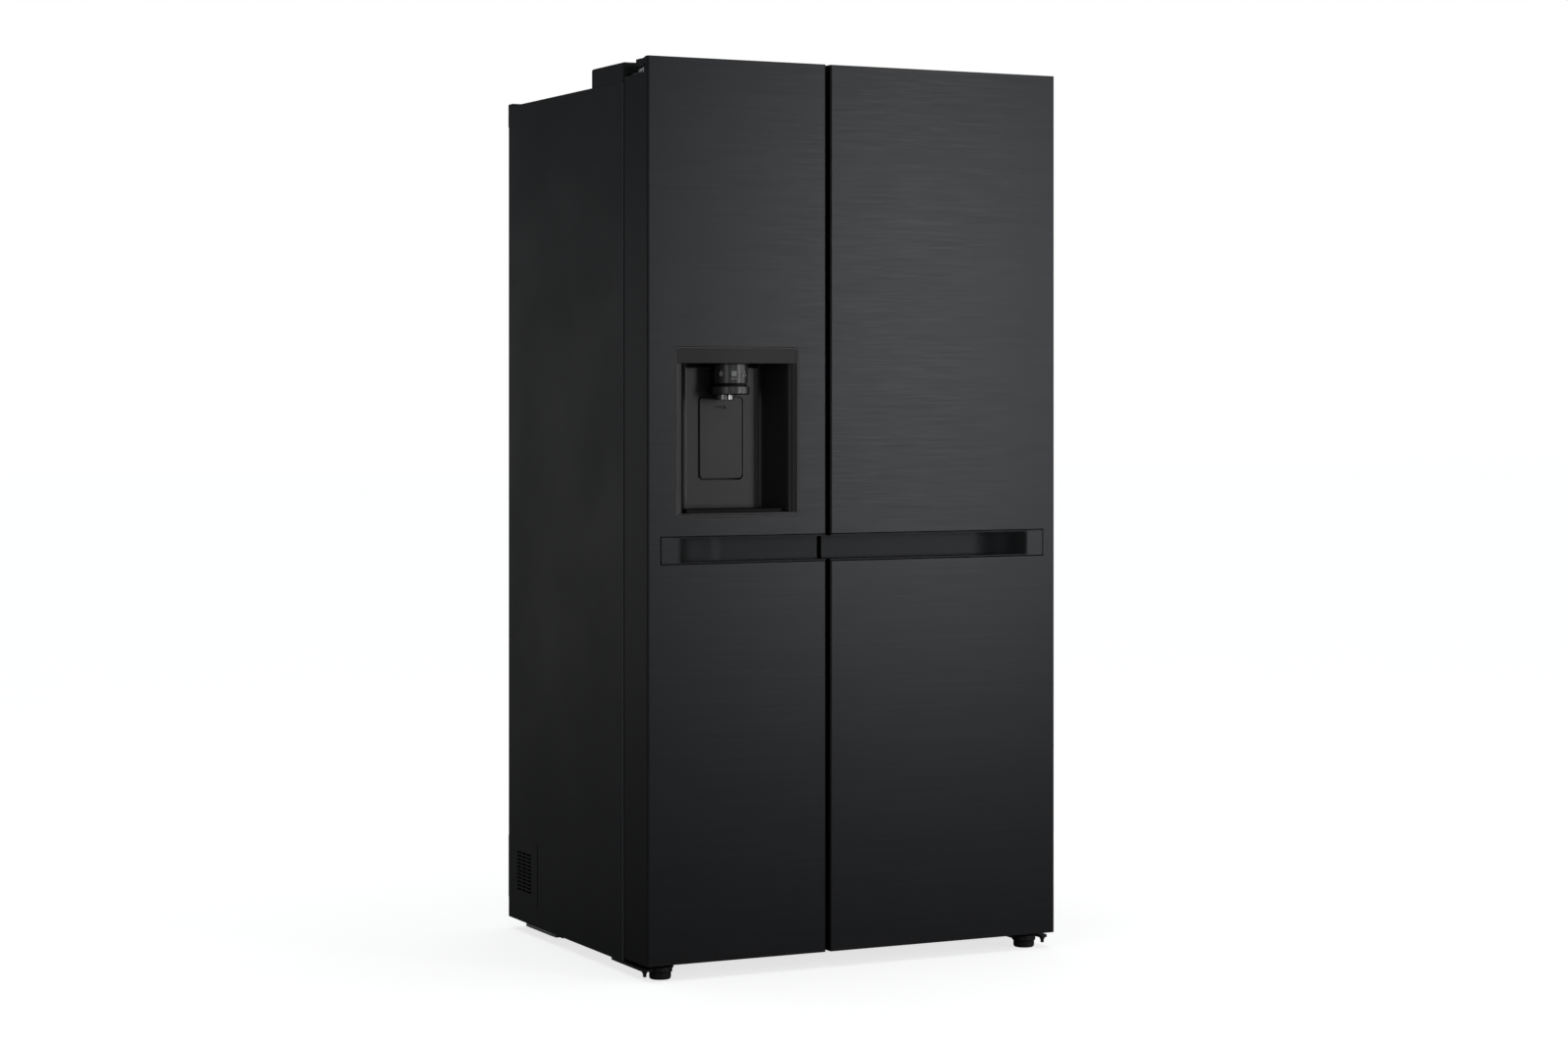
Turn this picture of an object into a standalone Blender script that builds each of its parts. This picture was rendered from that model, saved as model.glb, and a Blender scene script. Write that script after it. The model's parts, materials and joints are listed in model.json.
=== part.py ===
"""Side by side refrigerator with an ice and water dispenser in its left door.

Metres, +Z up. The doors face -Y and the origin is on the floor under the middle of the object.
"""

import math

import bmesh
import bpy
from mathutils import Matrix, Vector

# Overall size
WIDTH = 0.913
DEPTH = 0.735
HEIGHT = 1.790
HALF_WIDTH = WIDTH / 2
FRONT_Y = -DEPTH / 2
BACK_Y = DEPTH / 2

# Sheet, wall and clearance thicknesses
SHEET = 0.0012
LINER = 0.0025
GAP = 0.0003
PAST = 0.01  # how far a cutter runs past the face that it opens

# Cabinet
CASE_FRONT_Y = FRONT_Y + 0.1186
CASE_BACK_Y = BACK_Y - 0.003
CASE_BOTTOM_Z = 0.024
CASE_TOP_Z = 1.750
FLANGE_X = HALF_WIDTH - 0.025
FLANGE_BOTTOM_Z = 0.075
FLANGE_TOP_Z = 1.725
CAVITY_BOTTOM_Z = 0.100
CAVITY_TOP_Z = 1.700
CAVITY_BACK_Y = 0.300
STEP_Y = 0.095
STEP_Z = 0.330
FREEZER_X = (-0.4065, -0.0920)
FRIDGE_X = (-0.0400, 0.4065)
MACHINE_FRONT_Y = 0.150
MACHINE_TOP_Z = 0.285
BACK_SHEET_Y = CASE_BACK_Y - SHEET
INNER_X = HALF_WIDTH - SHEET - GAP
INNER_FRONT_Y = CASE_FRONT_Y + SHEET + GAP
INNER_BACK_Y = BACK_SHEET_Y - GAP
BASE_TOP_Z = CASE_BOTTOM_Z + 0.0015
DUCT_Y = (0.232, 0.236)
SHELF_FRONT_Y = -0.128

# Doors
DOOR_BACK_Y = FRONT_Y + 0.112
DOOR_BOTTOM_Z = 0.032
DOOR_GAP_X = (-0.0700, -0.0605)
FREEZER_DOOR_X = (-HALF_WIDTH, DOOR_GAP_X[0])
FRIDGE_DOOR_X = (DOOR_GAP_X[1], HALF_WIDTH)
NOTCH_Y = FRONT_Y + 0.056
NOTCH_Z = 1.758
NOTCH_LENGTH = 0.125
DIKE_DEPTH = 0.060
BASKET_DEPTH = 0.110
GASKET_WIDTH = 0.014

# Hinges
HINGE_X = HALF_WIDTH - 0.020
HINGE_Y = FRONT_Y + 0.074
PIN_RADIUS = 0.005
PIN_HOLE_RADIUS = 0.0056
TONGUE_HALF_WIDTH = 0.007

# Handle pocket
HANDLE_Z = (0.808, 0.859)
HANDLE_DEPTH = 0.043
HANDLE_END_X = 0.4275
HANDLE_POCKET_X = 0.372
HANDLE_WALL = 0.0025

# Dispenser
DISPENSER_X = (-0.397, -0.132)
DISPENSER_Z = (0.898, 1.228)
RECESS_TOP_Z = 1.197
RECESS_FLOOR_Z = 0.905
RECESS_BACK_Y = FRONT_Y + 0.090
HOUSING_BACK_Y = FRONT_Y + 0.104
BEZEL_BACK_Y = FRONT_Y + 0.012
DIAL_X = -0.258
DIAL_Y = FRONT_Y + 0.043
DIAL_RADIUS = 0.0375
DIAL_Z = (1.1560, 1.1965)
HEAD_RING_RADIUS = 0.0385
HEAD_Z = (1.1330, 1.1550)
CHUTE_RADIUS = 0.018
PADDLE_X = (-0.311, -0.218)
PADDLE_Z = (0.970, 1.131)
PADDLE_Y = (FRONT_Y + 0.076, FRONT_Y + 0.080)
PADDLE_AXIS_Z = 1.124

# Running gear
FOOT_X = 0.410
FOOT_Y = FRONT_Y + 0.045
ROLLER_X = 0.398
ROLLER_Y = FRONT_Y + 0.552
ROLLER_RADIUS = 0.0112
BRACKET_Z = (0.0187, 0.0237)

COLLECTION_NAME = "side_by_side_refrigerator"


def clear_scene():
    """Remove what the start-up file holds."""
    for item in list(bpy.data.objects):
        bpy.data.objects.remove(item, do_unlink=True)


def add_collection(name):
    collection = bpy.data.collections.new(name)
    bpy.context.scene.collection.children.link(collection)
    return collection


clear_scene()
PARTS = add_collection(COLLECTION_NAME)
CUTTERS = add_collection("cutters")
CUTTERS.hide_render = True


def add_material(name, colour, roughness, metallic=0.0):
    """A Principled material; the colour is linear red, green and blue."""
    material = bpy.data.materials.new(name)
    material.use_nodes = True
    shader = material.node_tree.nodes["Principled BSDF"]
    shader.inputs["Base Color"].default_value = (*colour, 1.0)
    shader.inputs["Roughness"].default_value = roughness
    shader.inputs["Metallic"].default_value = metallic
    return material


BLACK_STEEL = add_material("black_steel", (0.052, 0.054, 0.060), 0.38, 0.85)
CASE_PAINT = add_material("case_paint", (0.018, 0.018, 0.020), 0.45)
CAP_PLASTIC = add_material("cap_plastic", (0.016, 0.016, 0.017), 0.5)
HANDLE_PLASTIC = add_material("handle_plastic", (0.028, 0.029, 0.031), 0.42)
DISPENSER_PLASTIC = add_material("dispenser_plastic", (0.030, 0.029, 0.028), 0.4)
DIAL_METAL = add_material("dial_metal", (0.140, 0.140, 0.140), 0.3, 0.9)
LINER_PLASTIC = add_material("liner_plastic", (0.800, 0.810, 0.810), 0.35)
CLEAR_PLASTIC = add_material("clear_plastic", (0.700, 0.760, 0.780), 0.15)
SHELF_GLASS = add_material("shelf_glass", (0.600, 0.700, 0.680), 0.1)
FOAM = add_material("insulating_foam", (0.720, 0.600, 0.330), 0.9)
GASKET_RUBBER = add_material("gasket_rubber", (0.080, 0.080, 0.082), 0.7)
GALVANISED = add_material("galvanised_steel", (0.420, 0.430, 0.440), 0.45, 0.9)
BARE_STEEL = add_material("bare_steel", (0.300, 0.300, 0.310), 0.35, 1.0)
COMPRESSOR_PAINT = add_material("compressor_paint", (0.012, 0.012, 0.013), 0.4)
COPPER = add_material("copper_tube", (0.600, 0.280, 0.160), 0.35, 1.0)
ALUMINIUM = add_material("aluminium_fins", (0.650, 0.660, 0.670), 0.4, 1.0)
ROLLER_PLASTIC = add_material("roller_plastic", (0.060, 0.060, 0.062), 0.55)


def finish_object(name, mesh, location, material):
    """Put a mesh in the collection of parts, or in the cutters where it has no material."""
    made = bpy.data.objects.new(name, mesh)
    made.location = location
    if material is None:
        CUTTERS.objects.link(made)
        made.hide_render = True
        made.display_type = "WIRE"
        return made
    mesh.materials.append(material)
    PARTS.objects.link(made)
    return made


def box(name, x, y, z, material=None):
    """A box from its spans along X, Y and Z, with its origin at its centre."""
    spans = (x, y, z)
    size = [abs(span[1] - span[0]) for span in spans]
    centre = [(span[0] + span[1]) / 2 for span in spans]
    shape = bmesh.new()
    bmesh.ops.create_cube(shape, size=1.0, matrix=Matrix.Diagonal((*size, 1.0)))
    mesh = bpy.data.meshes.new(name)
    shape.to_mesh(mesh)
    shape.free()
    return finish_object(name, mesh, centre, material)


def boxes(name, spans):
    """A cutter made of several boxes, each given by its spans along X, Y and Z."""
    shape = bmesh.new()
    for x, y, z in spans:
        size = (abs(x[1] - x[0]), abs(y[1] - y[0]), abs(z[1] - z[0]))
        centre = Vector(((x[0] + x[1]) / 2, (y[0] + y[1]) / 2, (z[0] + z[1]) / 2))
        place = Matrix.Translation(centre) @ Matrix.Diagonal((*size, 1.0))
        bmesh.ops.create_cube(shape, size=1.0, matrix=place)
    mesh = bpy.data.meshes.new(name)
    shape.to_mesh(mesh)
    shape.free()
    return finish_object(name, mesh, (0.0, 0.0, 0.0), None)


TURN_TO_AXIS = {
    "X": Matrix.Rotation(math.radians(90.0), 4, "Y"),
    "Y": Matrix.Rotation(math.radians(-90.0), 4, "X"),
    "Z": Matrix.Identity(4),
}


def cylinder(name, radius, centre, length, axis="Z", material=None, sides=24):
    """A cylinder along one axis, with its origin at its centre."""
    shape = bmesh.new()
    bmesh.ops.create_cone(
        shape,
        cap_ends=True,
        segments=sides,
        radius1=radius,
        radius2=radius,
        depth=length,
        matrix=TURN_TO_AXIS[axis],
    )
    mesh = bpy.data.meshes.new(name)
    shape.to_mesh(mesh)
    shape.free()
    mesh.shade_smooth()
    mesh.set_sharp_from_angle(angle=math.radians(40.0))
    return finish_object(name, mesh, centre, material)


def curve_to_mesh(curve_object, name, material):
    """Turn a curve object into a closed mesh object at the same place, and remove the curve."""
    bpy.context.scene.collection.objects.link(curve_object)
    graph = bpy.context.evaluated_depsgraph_get()
    mesh = bpy.data.meshes.new_from_object(curve_object.evaluated_get(graph))
    mesh.transform(curve_object.matrix_world)
    shape = bmesh.new()
    shape.from_mesh(mesh)
    bmesh.ops.remove_doubles(shape, verts=shape.verts, dist=0.00001)
    bmesh.ops.recalc_face_normals(shape, faces=shape.faces)
    shape.to_mesh(mesh)
    shape.free()
    mesh.materials.clear()
    mesh.name = name
    bpy.data.objects.remove(curve_object)
    return finish_object(name, mesh, (0.0, 0.0, 0.0), material)


def prism_x(name, outline, x, material=None):
    """An outline of (Y, Z) points extruded along X from x[0] to x[1]."""
    curve = bpy.data.curves.new(name, "CURVE")
    curve.dimensions = "2D"
    curve.fill_mode = "BOTH"
    curve.extrude = abs(x[1] - x[0]) / 2
    spline = curve.splines.new("POLY")
    spline.points.add(len(outline) - 1)
    for point, (y, z) in zip(spline.points, outline):
        point.co = (y, z, 0.0, 1.0)
    spline.use_cyclic_u = True
    held = bpy.data.objects.new(name, curve)
    to_yz = Matrix(((0, 0, 1, 0), (1, 0, 0, 0), (0, 1, 0, 0), (0, 0, 0, 1)))
    held.matrix_world = Matrix.Translation(((x[0] + x[1]) / 2, 0.0, 0.0)) @ to_yz
    bpy.context.view_layer.update()
    return curve_to_mesh(held, name, material)


def tube(name, points, radius, material, resolution=2):
    """A round tube along a line of points."""
    curve = bpy.data.curves.new(name, "CURVE")
    curve.dimensions = "3D"
    curve.bevel_depth = radius
    curve.bevel_resolution = resolution
    curve.use_fill_caps = True
    spline = curve.splines.new("POLY")
    spline.points.add(len(points) - 1)
    for point, place in zip(spline.points, points):
        point.co = (*place, 1.0)
    return curve_to_mesh(bpy.data.objects.new(name, curve), name, material)


def turned(name, profile, centre, material, steps=28):
    """A shape turned about Z from (radius, height) points that run from its top to its bottom."""
    mesh = bpy.data.meshes.new(name)
    edges = [(index, index + 1) for index in range(len(profile) - 1)]
    mesh.from_pydata([(radius, 0.0, height) for radius, height in profile], edges, [])
    made = finish_object(name, mesh, centre, material)
    screw = made.modifiers.new("Turn", "SCREW")
    screw.axis = "Z"
    screw.angle = math.tau
    screw.steps = steps
    screw.render_steps = steps
    screw.use_merge_vertices = True
    screw.merge_threshold = 0.0001
    return made


def cut(target, *cutters):
    """Take each cutter out of the target."""
    for cutter in cutters:
        modifier = target.modifiers.new("Cut", "BOOLEAN")
        modifier.operation = "DIFFERENCE"
        modifier.object = cutter
    return target


def join(target, *others):
    """Fuse other solids, which are kept as guides, onto the target."""
    for other in others:
        modifier = target.modifiers.new("Join", "BOOLEAN")
        modifier.operation = "UNION"
        modifier.object = other
    return target


def round_edges(target, radius, chosen, segments=2):
    """Round the edges for which chosen(midpoint, direction) holds, in world coordinates."""
    shape = bmesh.new()
    shape.from_mesh(target.data)
    place = target.location
    found = []
    for edge in shape.edges:
        start, end = (vertex.co + place for vertex in edge.verts)
        if chosen((start + end) / 2, (end - start).normalized()):
            found.append(edge)
    bmesh.ops.bevel(
        shape,
        geom=found,
        offset=radius,
        offset_type="OFFSET",
        segments=segments,
        profile=0.5,
        affect="EDGES",
        clamp_overlap=True,
    )
    shape.to_mesh(target.data)
    shape.free()
    return target


def along(axis):
    """A test for round_edges: every edge that runs along one axis."""
    return lambda middle, direction: abs(direction["XYZ".index(axis)]) > 0.9


def move_origin(target, point):
    """Move an object's origin without moving its shape."""
    shift = Vector(point) - target.location
    target.data.transform(Matrix.Translation(-shift))
    target.location = point
    return target


def grow(span, amount):
    """A span made longer by an amount at both ends."""
    return (span[0] - amount, span[1] + amount)


def on_side(side, inner, outer):
    """The span between two distances from the middle, on the left (-1) or on the right (1)."""
    return tuple(sorted((side * inner, side * outer)))


# ---------------------------------------------------------------- cabinet


def vent_slots():
    """The cutter for the air slots low on the left side, by the compressor."""
    spans = []
    for column in range(3):
        y = FRONT_Y + 0.601 + 0.028 * column
        for row in range(11):
            z = 0.0885 + 0.0078 * row
            spans.append(((-HALF_WIDTH - PAST, -HALF_WIDTH + PAST), (y, y + 0.024), (z, z + 0.0042)))
    return boxes("vent_slot_cutter", spans)


def build_outer_case():
    """The folded steel case: both sides, the top and the face frame with its middle bar."""
    case = box(
        "outer_case",
        (-HALF_WIDTH, HALF_WIDTH),
        (CASE_FRONT_Y, CASE_BACK_Y),
        (CASE_BOTTOM_Z, CASE_TOP_Z),
        CASE_PAINT,
    )
    round_edges(
        case,
        0.003,
        lambda middle, direction: abs(direction.z) > 0.9 and middle.y < 0,
    )
    hollow = box(
        "case_hollow_cutter",
        (-HALF_WIDTH + SHEET, HALF_WIDTH - SHEET),
        (CASE_FRONT_Y + SHEET, CASE_BACK_Y + PAST),
        (CASE_BOTTOM_Z - PAST, CASE_TOP_Z - SHEET),
    )
    clear = LINER + GAP
    depth = (CASE_FRONT_Y - PAST, CASE_FRONT_Y + PAST)
    height = (FLANGE_BOTTOM_Z, FLANGE_TOP_Z)
    openings = [
        ((-FLANGE_X, FREEZER_X[1] + clear), depth, height),
        ((FRIDGE_X[0] - clear, FLANGE_X), depth, height),
    ]
    cut(case, hollow, boxes("case_opening_cutter", openings), vent_slots())


def build_back_sheets():
    """The back sheet above the machine space and the louvred cover over it."""
    width = (-INNER_X, INNER_X)
    depth = (BACK_SHEET_Y, CASE_BACK_Y)
    box("back_panel", width, depth, (MACHINE_TOP_Z, CASE_TOP_Z - SHEET - GAP), GALVANISED)
    cover = box("machine_cover", width, depth, (BASE_TOP_Z, MACHINE_TOP_Z - GAP), GALVANISED)
    slots = []
    for column in range(9):
        x = -0.36 + 0.082 * column
        for row in range(2):
            z = 0.11 + 0.07 * row
            slots.append(((x, x + 0.05), grow(depth, PAST), (z, z + 0.012)))
    cut(cover, boxes("cover_slot_cutter", slots))


def roller_cheeks(side):
    """The plate and the two cheeks that carry one rear roller, as guides to fuse on the base."""
    y = (FRONT_Y + 0.470, FRONT_Y + 0.634)
    plate = box(
        f"roller_plate_guide_{side}",
        on_side(side, 0.380, INNER_X),
        y,
        (0.0175, CASE_BOTTOM_Z + 0.0005),
    )
    cheeks = []
    for offset in (-0.0135, 0.0135):
        middle = side * ROLLER_X + offset
        cheek = box(
            f"roller_cheek_guide_{side}_{offset}",
            grow((middle, middle), 0.0015),
            grow((ROLLER_Y, ROLLER_Y), 0.016),
            (0.0055, 0.0185),
        )
        cheeks.append(cheek)
    return plate, *cheeks


def build_base():
    """The base sheet with the plates and cheeks of both rear rollers."""
    base = box(
        "base_plate",
        (-INNER_X, INNER_X),
        (INNER_FRONT_Y, INNER_BACK_Y),
        (CASE_BOTTOM_Z, BASE_TOP_Z - GAP),
        GALVANISED,
    )
    for side in (-1, 1):
        join(base, *roller_cheeks(side))
        well = box(
            f"roller_well_cutter_{side}",
            grow((side * ROLLER_X, side * ROLLER_X), 0.0117),
            grow((ROLLER_Y, ROLLER_Y), 0.0125),
            (0.0, CASE_BOTTOM_Z + 0.0002),
        )
        bore = cylinder(
            f"roller_bore_cutter_{side}",
            0.0034,
            (side * ROLLER_X, ROLLER_Y, ROLLER_RADIUS),
            0.034,
            "X",
            sides=16,
        )
        cut(base, well, bore)


def cavity_outline(front_y, thickness):
    """The side outline of a compartment, with the step over the machine space."""
    low = CAVITY_BOTTOM_Z - thickness
    high = CAVITY_TOP_Z + thickness
    step_y = STEP_Y + thickness
    step_z = STEP_Z - thickness
    back = CAVITY_BACK_Y + thickness
    return [
        (front_y, low),
        (step_y, low),
        (step_y, step_z),
        (back, step_z),
        (back, high),
        (front_y, high),
    ]


def build_liner(name, span, lip):
    """One compartment's moulded liner, with the lip that closes against the face frame."""
    outline = cavity_outline(CASE_FRONT_Y + SHEET / 2, LINER)
    liner = prism_x(name, outline, grow(span, LINER), LINER_PLASTIC)
    edge = box(
        f"{name}_lip_guide",
        lip,
        (CASE_FRONT_Y, CASE_FRONT_Y + SHEET),
        (FLANGE_BOTTOM_Z + GAP, FLANGE_TOP_Z - GAP),
    )
    inside = prism_x(f"{name}_inside_cutter", cavity_outline(CASE_FRONT_Y - PAST, 0.0), span)
    cut(join(liner, edge), inside)


def build_foam():
    """The insulation between the case and the liners, open for the machine space."""
    foam = box(
        "cabinet_foam",
        (-INNER_X, INNER_X),
        (INNER_FRONT_Y, INNER_BACK_Y),
        (BASE_TOP_Z, CASE_TOP_Z - SHEET - GAP),
        FOAM,
    )
    clear = LINER + GAP
    outline = cavity_outline(CASE_FRONT_Y - PAST, clear)
    for label, span in (("freezer", FREEZER_X), ("fridge", FRIDGE_X)):
        cut(foam, prism_x(f"{label}_foam_cutter", outline, grow(span, clear)))
    machine = box(
        "machine_space_cutter",
        (-HALF_WIDTH, HALF_WIDTH),
        (MACHINE_FRONT_Y, BACK_Y),
        (0.0, MACHINE_TOP_Z),
    )
    cut(foam, machine)


def build_rear_cap():
    """The round plastic strip along the top rear edge."""
    cap = box(
        "rear_top_cap",
        (-HALF_WIDTH, HALF_WIDTH),
        (BACK_Y - 0.028, BACK_Y),
        (CASE_TOP_Z + GAP, CASE_TOP_Z + 0.010),
        CAP_PLASTIC,
    )
    apron = box(
        "rear_cap_apron_guide",
        (-HALF_WIDTH, HALF_WIDTH),
        (CASE_BACK_Y + GAP, BACK_Y),
        (1.706, CASE_TOP_Z + 0.005),
    )
    round_edges(
        cap,
        0.006,
        lambda middle, direction: abs(direction.x) > 0.9 and middle.z > CASE_TOP_Z + 0.005,
    )
    join(cap, apron)


def build_top_hinge(side, label):
    """The bracket on the case top with its tongue and pin, and the cover over it."""
    bracket = box(
        f"hinge_bracket_top_{label}",
        on_side(side, 0.370, 0.449),
        (CASE_FRONT_Y + 0.006, CASE_FRONT_Y + 0.110),
        (CASE_TOP_Z + GAP, 1.764),
        BARE_STEEL,
    )
    tongue = box(
        f"tongue_guide_{label}",
        on_side(side, HINGE_X - TONGUE_HALF_WIDTH, HINGE_X + TONGUE_HALF_WIDTH),
        (HINGE_Y - 0.003, CASE_FRONT_Y + 0.010),
        (1.760, 1.764),
    )
    end = cylinder(
        f"tongue_end_guide_{label}",
        TONGUE_HALF_WIDTH,
        (side * HINGE_X, HINGE_Y - 0.001, 1.762),
        0.004,
        sides=16,
    )
    pin = cylinder(
        f"top_pin_guide_{label}",
        PIN_RADIUS,
        (side * HINGE_X, HINGE_Y, 1.757),
        0.018,
        sides=16,
    )
    join(bracket, tongue, end, pin)
    build_hinge_cover(side, label)


def build_hinge_cover(side, label):
    """The hollow plastic cover over a top hinge, open below and with a slot for the tongue."""
    y = (FRONT_Y + 0.1178, FRONT_Y + 0.278)
    z = (CASE_TOP_Z + GAP, 1.7885)
    cover = box(f"hinge_cover_{label}", on_side(side, 0.345, HALF_WIDTH), y, z, CAP_PLASTIC)
    round_edges(
        cover,
        0.004,
        lambda middle, direction: abs(direction.z) < 0.1 and middle.z > CASE_TOP_Z + 0.03,
    )
    hollow = box(
        f"hinge_cover_hollow_cutter_{label}",
        on_side(side, 0.348, HALF_WIDTH - 0.003),
        grow(y, -0.003),
        (CASE_TOP_Z - PAST, z[1] - 0.003),
    )
    slot = box(
        f"hinge_cover_slot_cutter_{label}",
        on_side(side, HINGE_X - 0.009, HINGE_X + 0.009),
        (y[0] - PAST, y[0] + PAST),
        (CASE_TOP_Z - PAST, 1.7655),
    )
    cut(cover, hollow, slot)


def build_bottom_hinge(side, label):
    """The plate under a front corner with the lower door pin; the levelling foot is below it."""
    plate = box(
        f"hinge_bracket_bottom_{label}",
        on_side(side, 0.372, HALF_WIDTH - 0.0005),
        (FRONT_Y + 0.020, FRONT_Y + 0.178),
        BRACKET_Z,
        GALVANISED,
    )
    round_edges(
        plate,
        0.012,
        lambda middle, direction: abs(direction.z) > 0.9 and middle.y < FRONT_Y + 0.1,
    )
    pin = cylinder(
        f"bottom_pin_guide_{label}",
        PIN_RADIUS,
        (side * HINGE_X, HINGE_Y, 0.0315),
        0.019,
        sides=16,
    )
    screw = cylinder(
        f"bottom_screw_guide_{label}",
        0.0035,
        (side * (HALF_WIDTH - 0.009), FRONT_Y + 0.034, 0.0135),
        0.013,
        sides=12,
    )
    join(plate, pin, screw)


def build_foot(side, label):
    """A levelling foot: a wide disc on a short threaded neck."""
    profile = [
        (0.0, 0.0184),
        (0.006, 0.0184),
        (0.006, 0.0150),
        (0.024, 0.0145),
        (0.024, 0.0085),
        (0.021, 0.0080),
        (0.021, 0.0),
        (0.0, 0.0),
    ]
    turned(f"foot_{label}", profile, (side * FOOT_X, FOOT_Y, 0.0), ROLLER_PLASTIC, steps=20)


def build_roller(side, label):
    """A rear roller with its stub axles."""
    centre = (side * ROLLER_X, ROLLER_Y, ROLLER_RADIUS)
    roller = cylinder(f"roller_{label}", ROLLER_RADIUS, centre, 0.022, "X", ROLLER_PLASTIC, 20)
    axle = cylinder(f"roller_axle_guide_{label}", 0.003, centre, 0.030, "X", sides=12)
    join(roller, axle)


# ---------------------------------------------------------------- machinery


def fan_sectors(name, centre, inner, outer, axis, length):
    """Four quarter openings around a fan hub, as one cutter, with spokes left between them."""
    shape = bmesh.new()
    steps = 5
    spoke = math.radians(9.0)
    for quarter in range(4):
        start = quarter * math.pi / 2 + spoke
        sweep = math.pi / 2 - 2 * spoke
        angles = [start + sweep * step / steps for step in range(steps + 1)]
        ring = [(outer * math.cos(a), outer * math.sin(a)) for a in angles]
        ring += [(inner * math.cos(a), inner * math.sin(a)) for a in (angles[-1], angles[0])]
        bottom = [shape.verts.new((u, v, -length / 2)) for u, v in ring]
        face = shape.faces.new(bottom)
        made = bmesh.ops.extrude_face_region(shape, geom=[face])["geom"]
        lifted = [item for item in made if isinstance(item, bmesh.types.BMVert)]
        bmesh.ops.translate(shape, verts=lifted, vec=(0.0, 0.0, length))
    bmesh.ops.recalc_face_normals(shape, faces=shape.faces)
    shape.transform(TURN_TO_AXIS[axis])
    mesh = bpy.data.meshes.new(name)
    shape.to_mesh(mesh)
    shape.free()
    return finish_object(name, mesh, centre, None)


def build_fan_blade(name, centre, axis, radius, hub_radius, thickness):
    """A bladed fan wheel about one axis, with its origin on that axis."""
    hub = cylinder(name, hub_radius, centre, thickness, axis, CAP_PLASTIC, 16)
    count = 5
    length = radius - hub_radius * 0.6
    shape = bmesh.new()
    for index in range(count):
        pitch = Matrix.Rotation(math.radians(32.0), 4, "X")
        size = Matrix.Diagonal((length, radius * 0.55, 0.0016, 1.0))
        out = Matrix.Translation((hub_radius * 0.6 + length / 2, 0.0, 0.0))
        turn = Matrix.Rotation(math.tau * index / count, 4, "Z")
        place = TURN_TO_AXIS[axis] @ turn @ out @ pitch @ size
        bmesh.ops.create_cube(shape, size=1.0, matrix=place)
    mesh = bpy.data.meshes.new(f"{name}_blades_guide")
    shape.to_mesh(mesh)
    shape.free()
    join(hub, finish_object(mesh.name, mesh, centre, None))


COMPRESSOR_PLACE = (-0.245, 0.255, BASE_TOP_Z)


def build_compressor():
    """The welded compressor shell on its foot flange."""
    profile = [
        (0.0, 0.1750),
        (0.035, 0.1720),
        (0.066, 0.1550),
        (0.078, 0.1250),
        (0.080, 0.0950),
        (0.084, 0.0940),
        (0.084, 0.0860),
        (0.080, 0.0850),
        (0.078, 0.0500),
        (0.062, 0.0240),
        (0.062, 0.0120),
        (0.088, 0.0100),
        (0.088, 0.0),
        (0.0, 0.0),
    ]
    turned("compressor", profile, COMPRESSOR_PLACE, COMPRESSOR_PAINT)


def build_condenser():
    """The serpentine condenser tube beside the fan."""
    points = []
    rows = 6
    x_near, x_far = 0.135, 0.415
    for row in range(rows):
        z = 0.075 + 0.026 * row
        ends = (x_near, x_far) if row % 2 == 0 else (x_far, x_near)
        points += [(ends[0], 0.225, z), (ends[1], 0.225, z)]
        if row < rows - 1:
            bend = 0.009 if row % 2 == 0 else -0.009
            points.append((ends[1] + bend, 0.225, z + 0.013))
    points.append((points[-1][0], 0.300, points[-1][2]))
    for row in reversed(range(rows)):
        z = 0.075 + 0.026 * row
        ends = (x_near, x_far) if row % 2 == 1 else (x_far, x_near)
        points += [(ends[0], 0.300, z), (ends[1], 0.300, z)] if row < rows - 1 else [(ends[1], 0.300, z)]
        if row > 0:
            bend = 0.009 if ends[1] == x_far else -0.009
            points.append((ends[1] + bend, 0.300, z - 0.013))
    tube("condenser_coil", points, 0.0032, COPPER)


CONDENSER_FAN = (0.020, 0.255, 0.135)


def build_condenser_fan():
    """The square fan frame with its spokes, and the fan wheel in front of it."""
    x, y, z = CONDENSER_FAN
    frame = box(
        "condenser_fan_frame",
        (x - 0.006, x + 0.006),
        grow((y, y), 0.070),
        (BASE_TOP_Z, z + 0.075),
        CAP_PLASTIC,
    )
    cut(frame, fan_sectors("condenser_fan_cutter", CONDENSER_FAN, 0.022, 0.063, "X", 0.04))
    centre = (x - 0.006 - GAP - 0.011, y, z)
    build_fan_blade("condenser_fan_blade", centre, "X", 0.058, 0.018, 0.022)


def build_evaporator():
    """The finned evaporator behind the freezer's back duct."""
    x, y, z = (-0.395, -0.105), (0.240, 0.296), (0.400, 0.800)
    coil = box("evaporator_coil", x, y, z, ALUMINIUM)
    slots = []
    count = 14
    pitch = (x[1] - x[0]) / count
    for index in range(count):
        middle = x[0] + pitch * (index + 0.5)
        slots.append((grow((middle, middle), 0.007), (y[0] - PAST, y[1] - 0.006), grow(z, PAST)))
    cut(coil, boxes("evaporator_slot_cutter", slots))


EVAPORATOR_FAN = (-0.249, 0.2475, 0.930)


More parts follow.
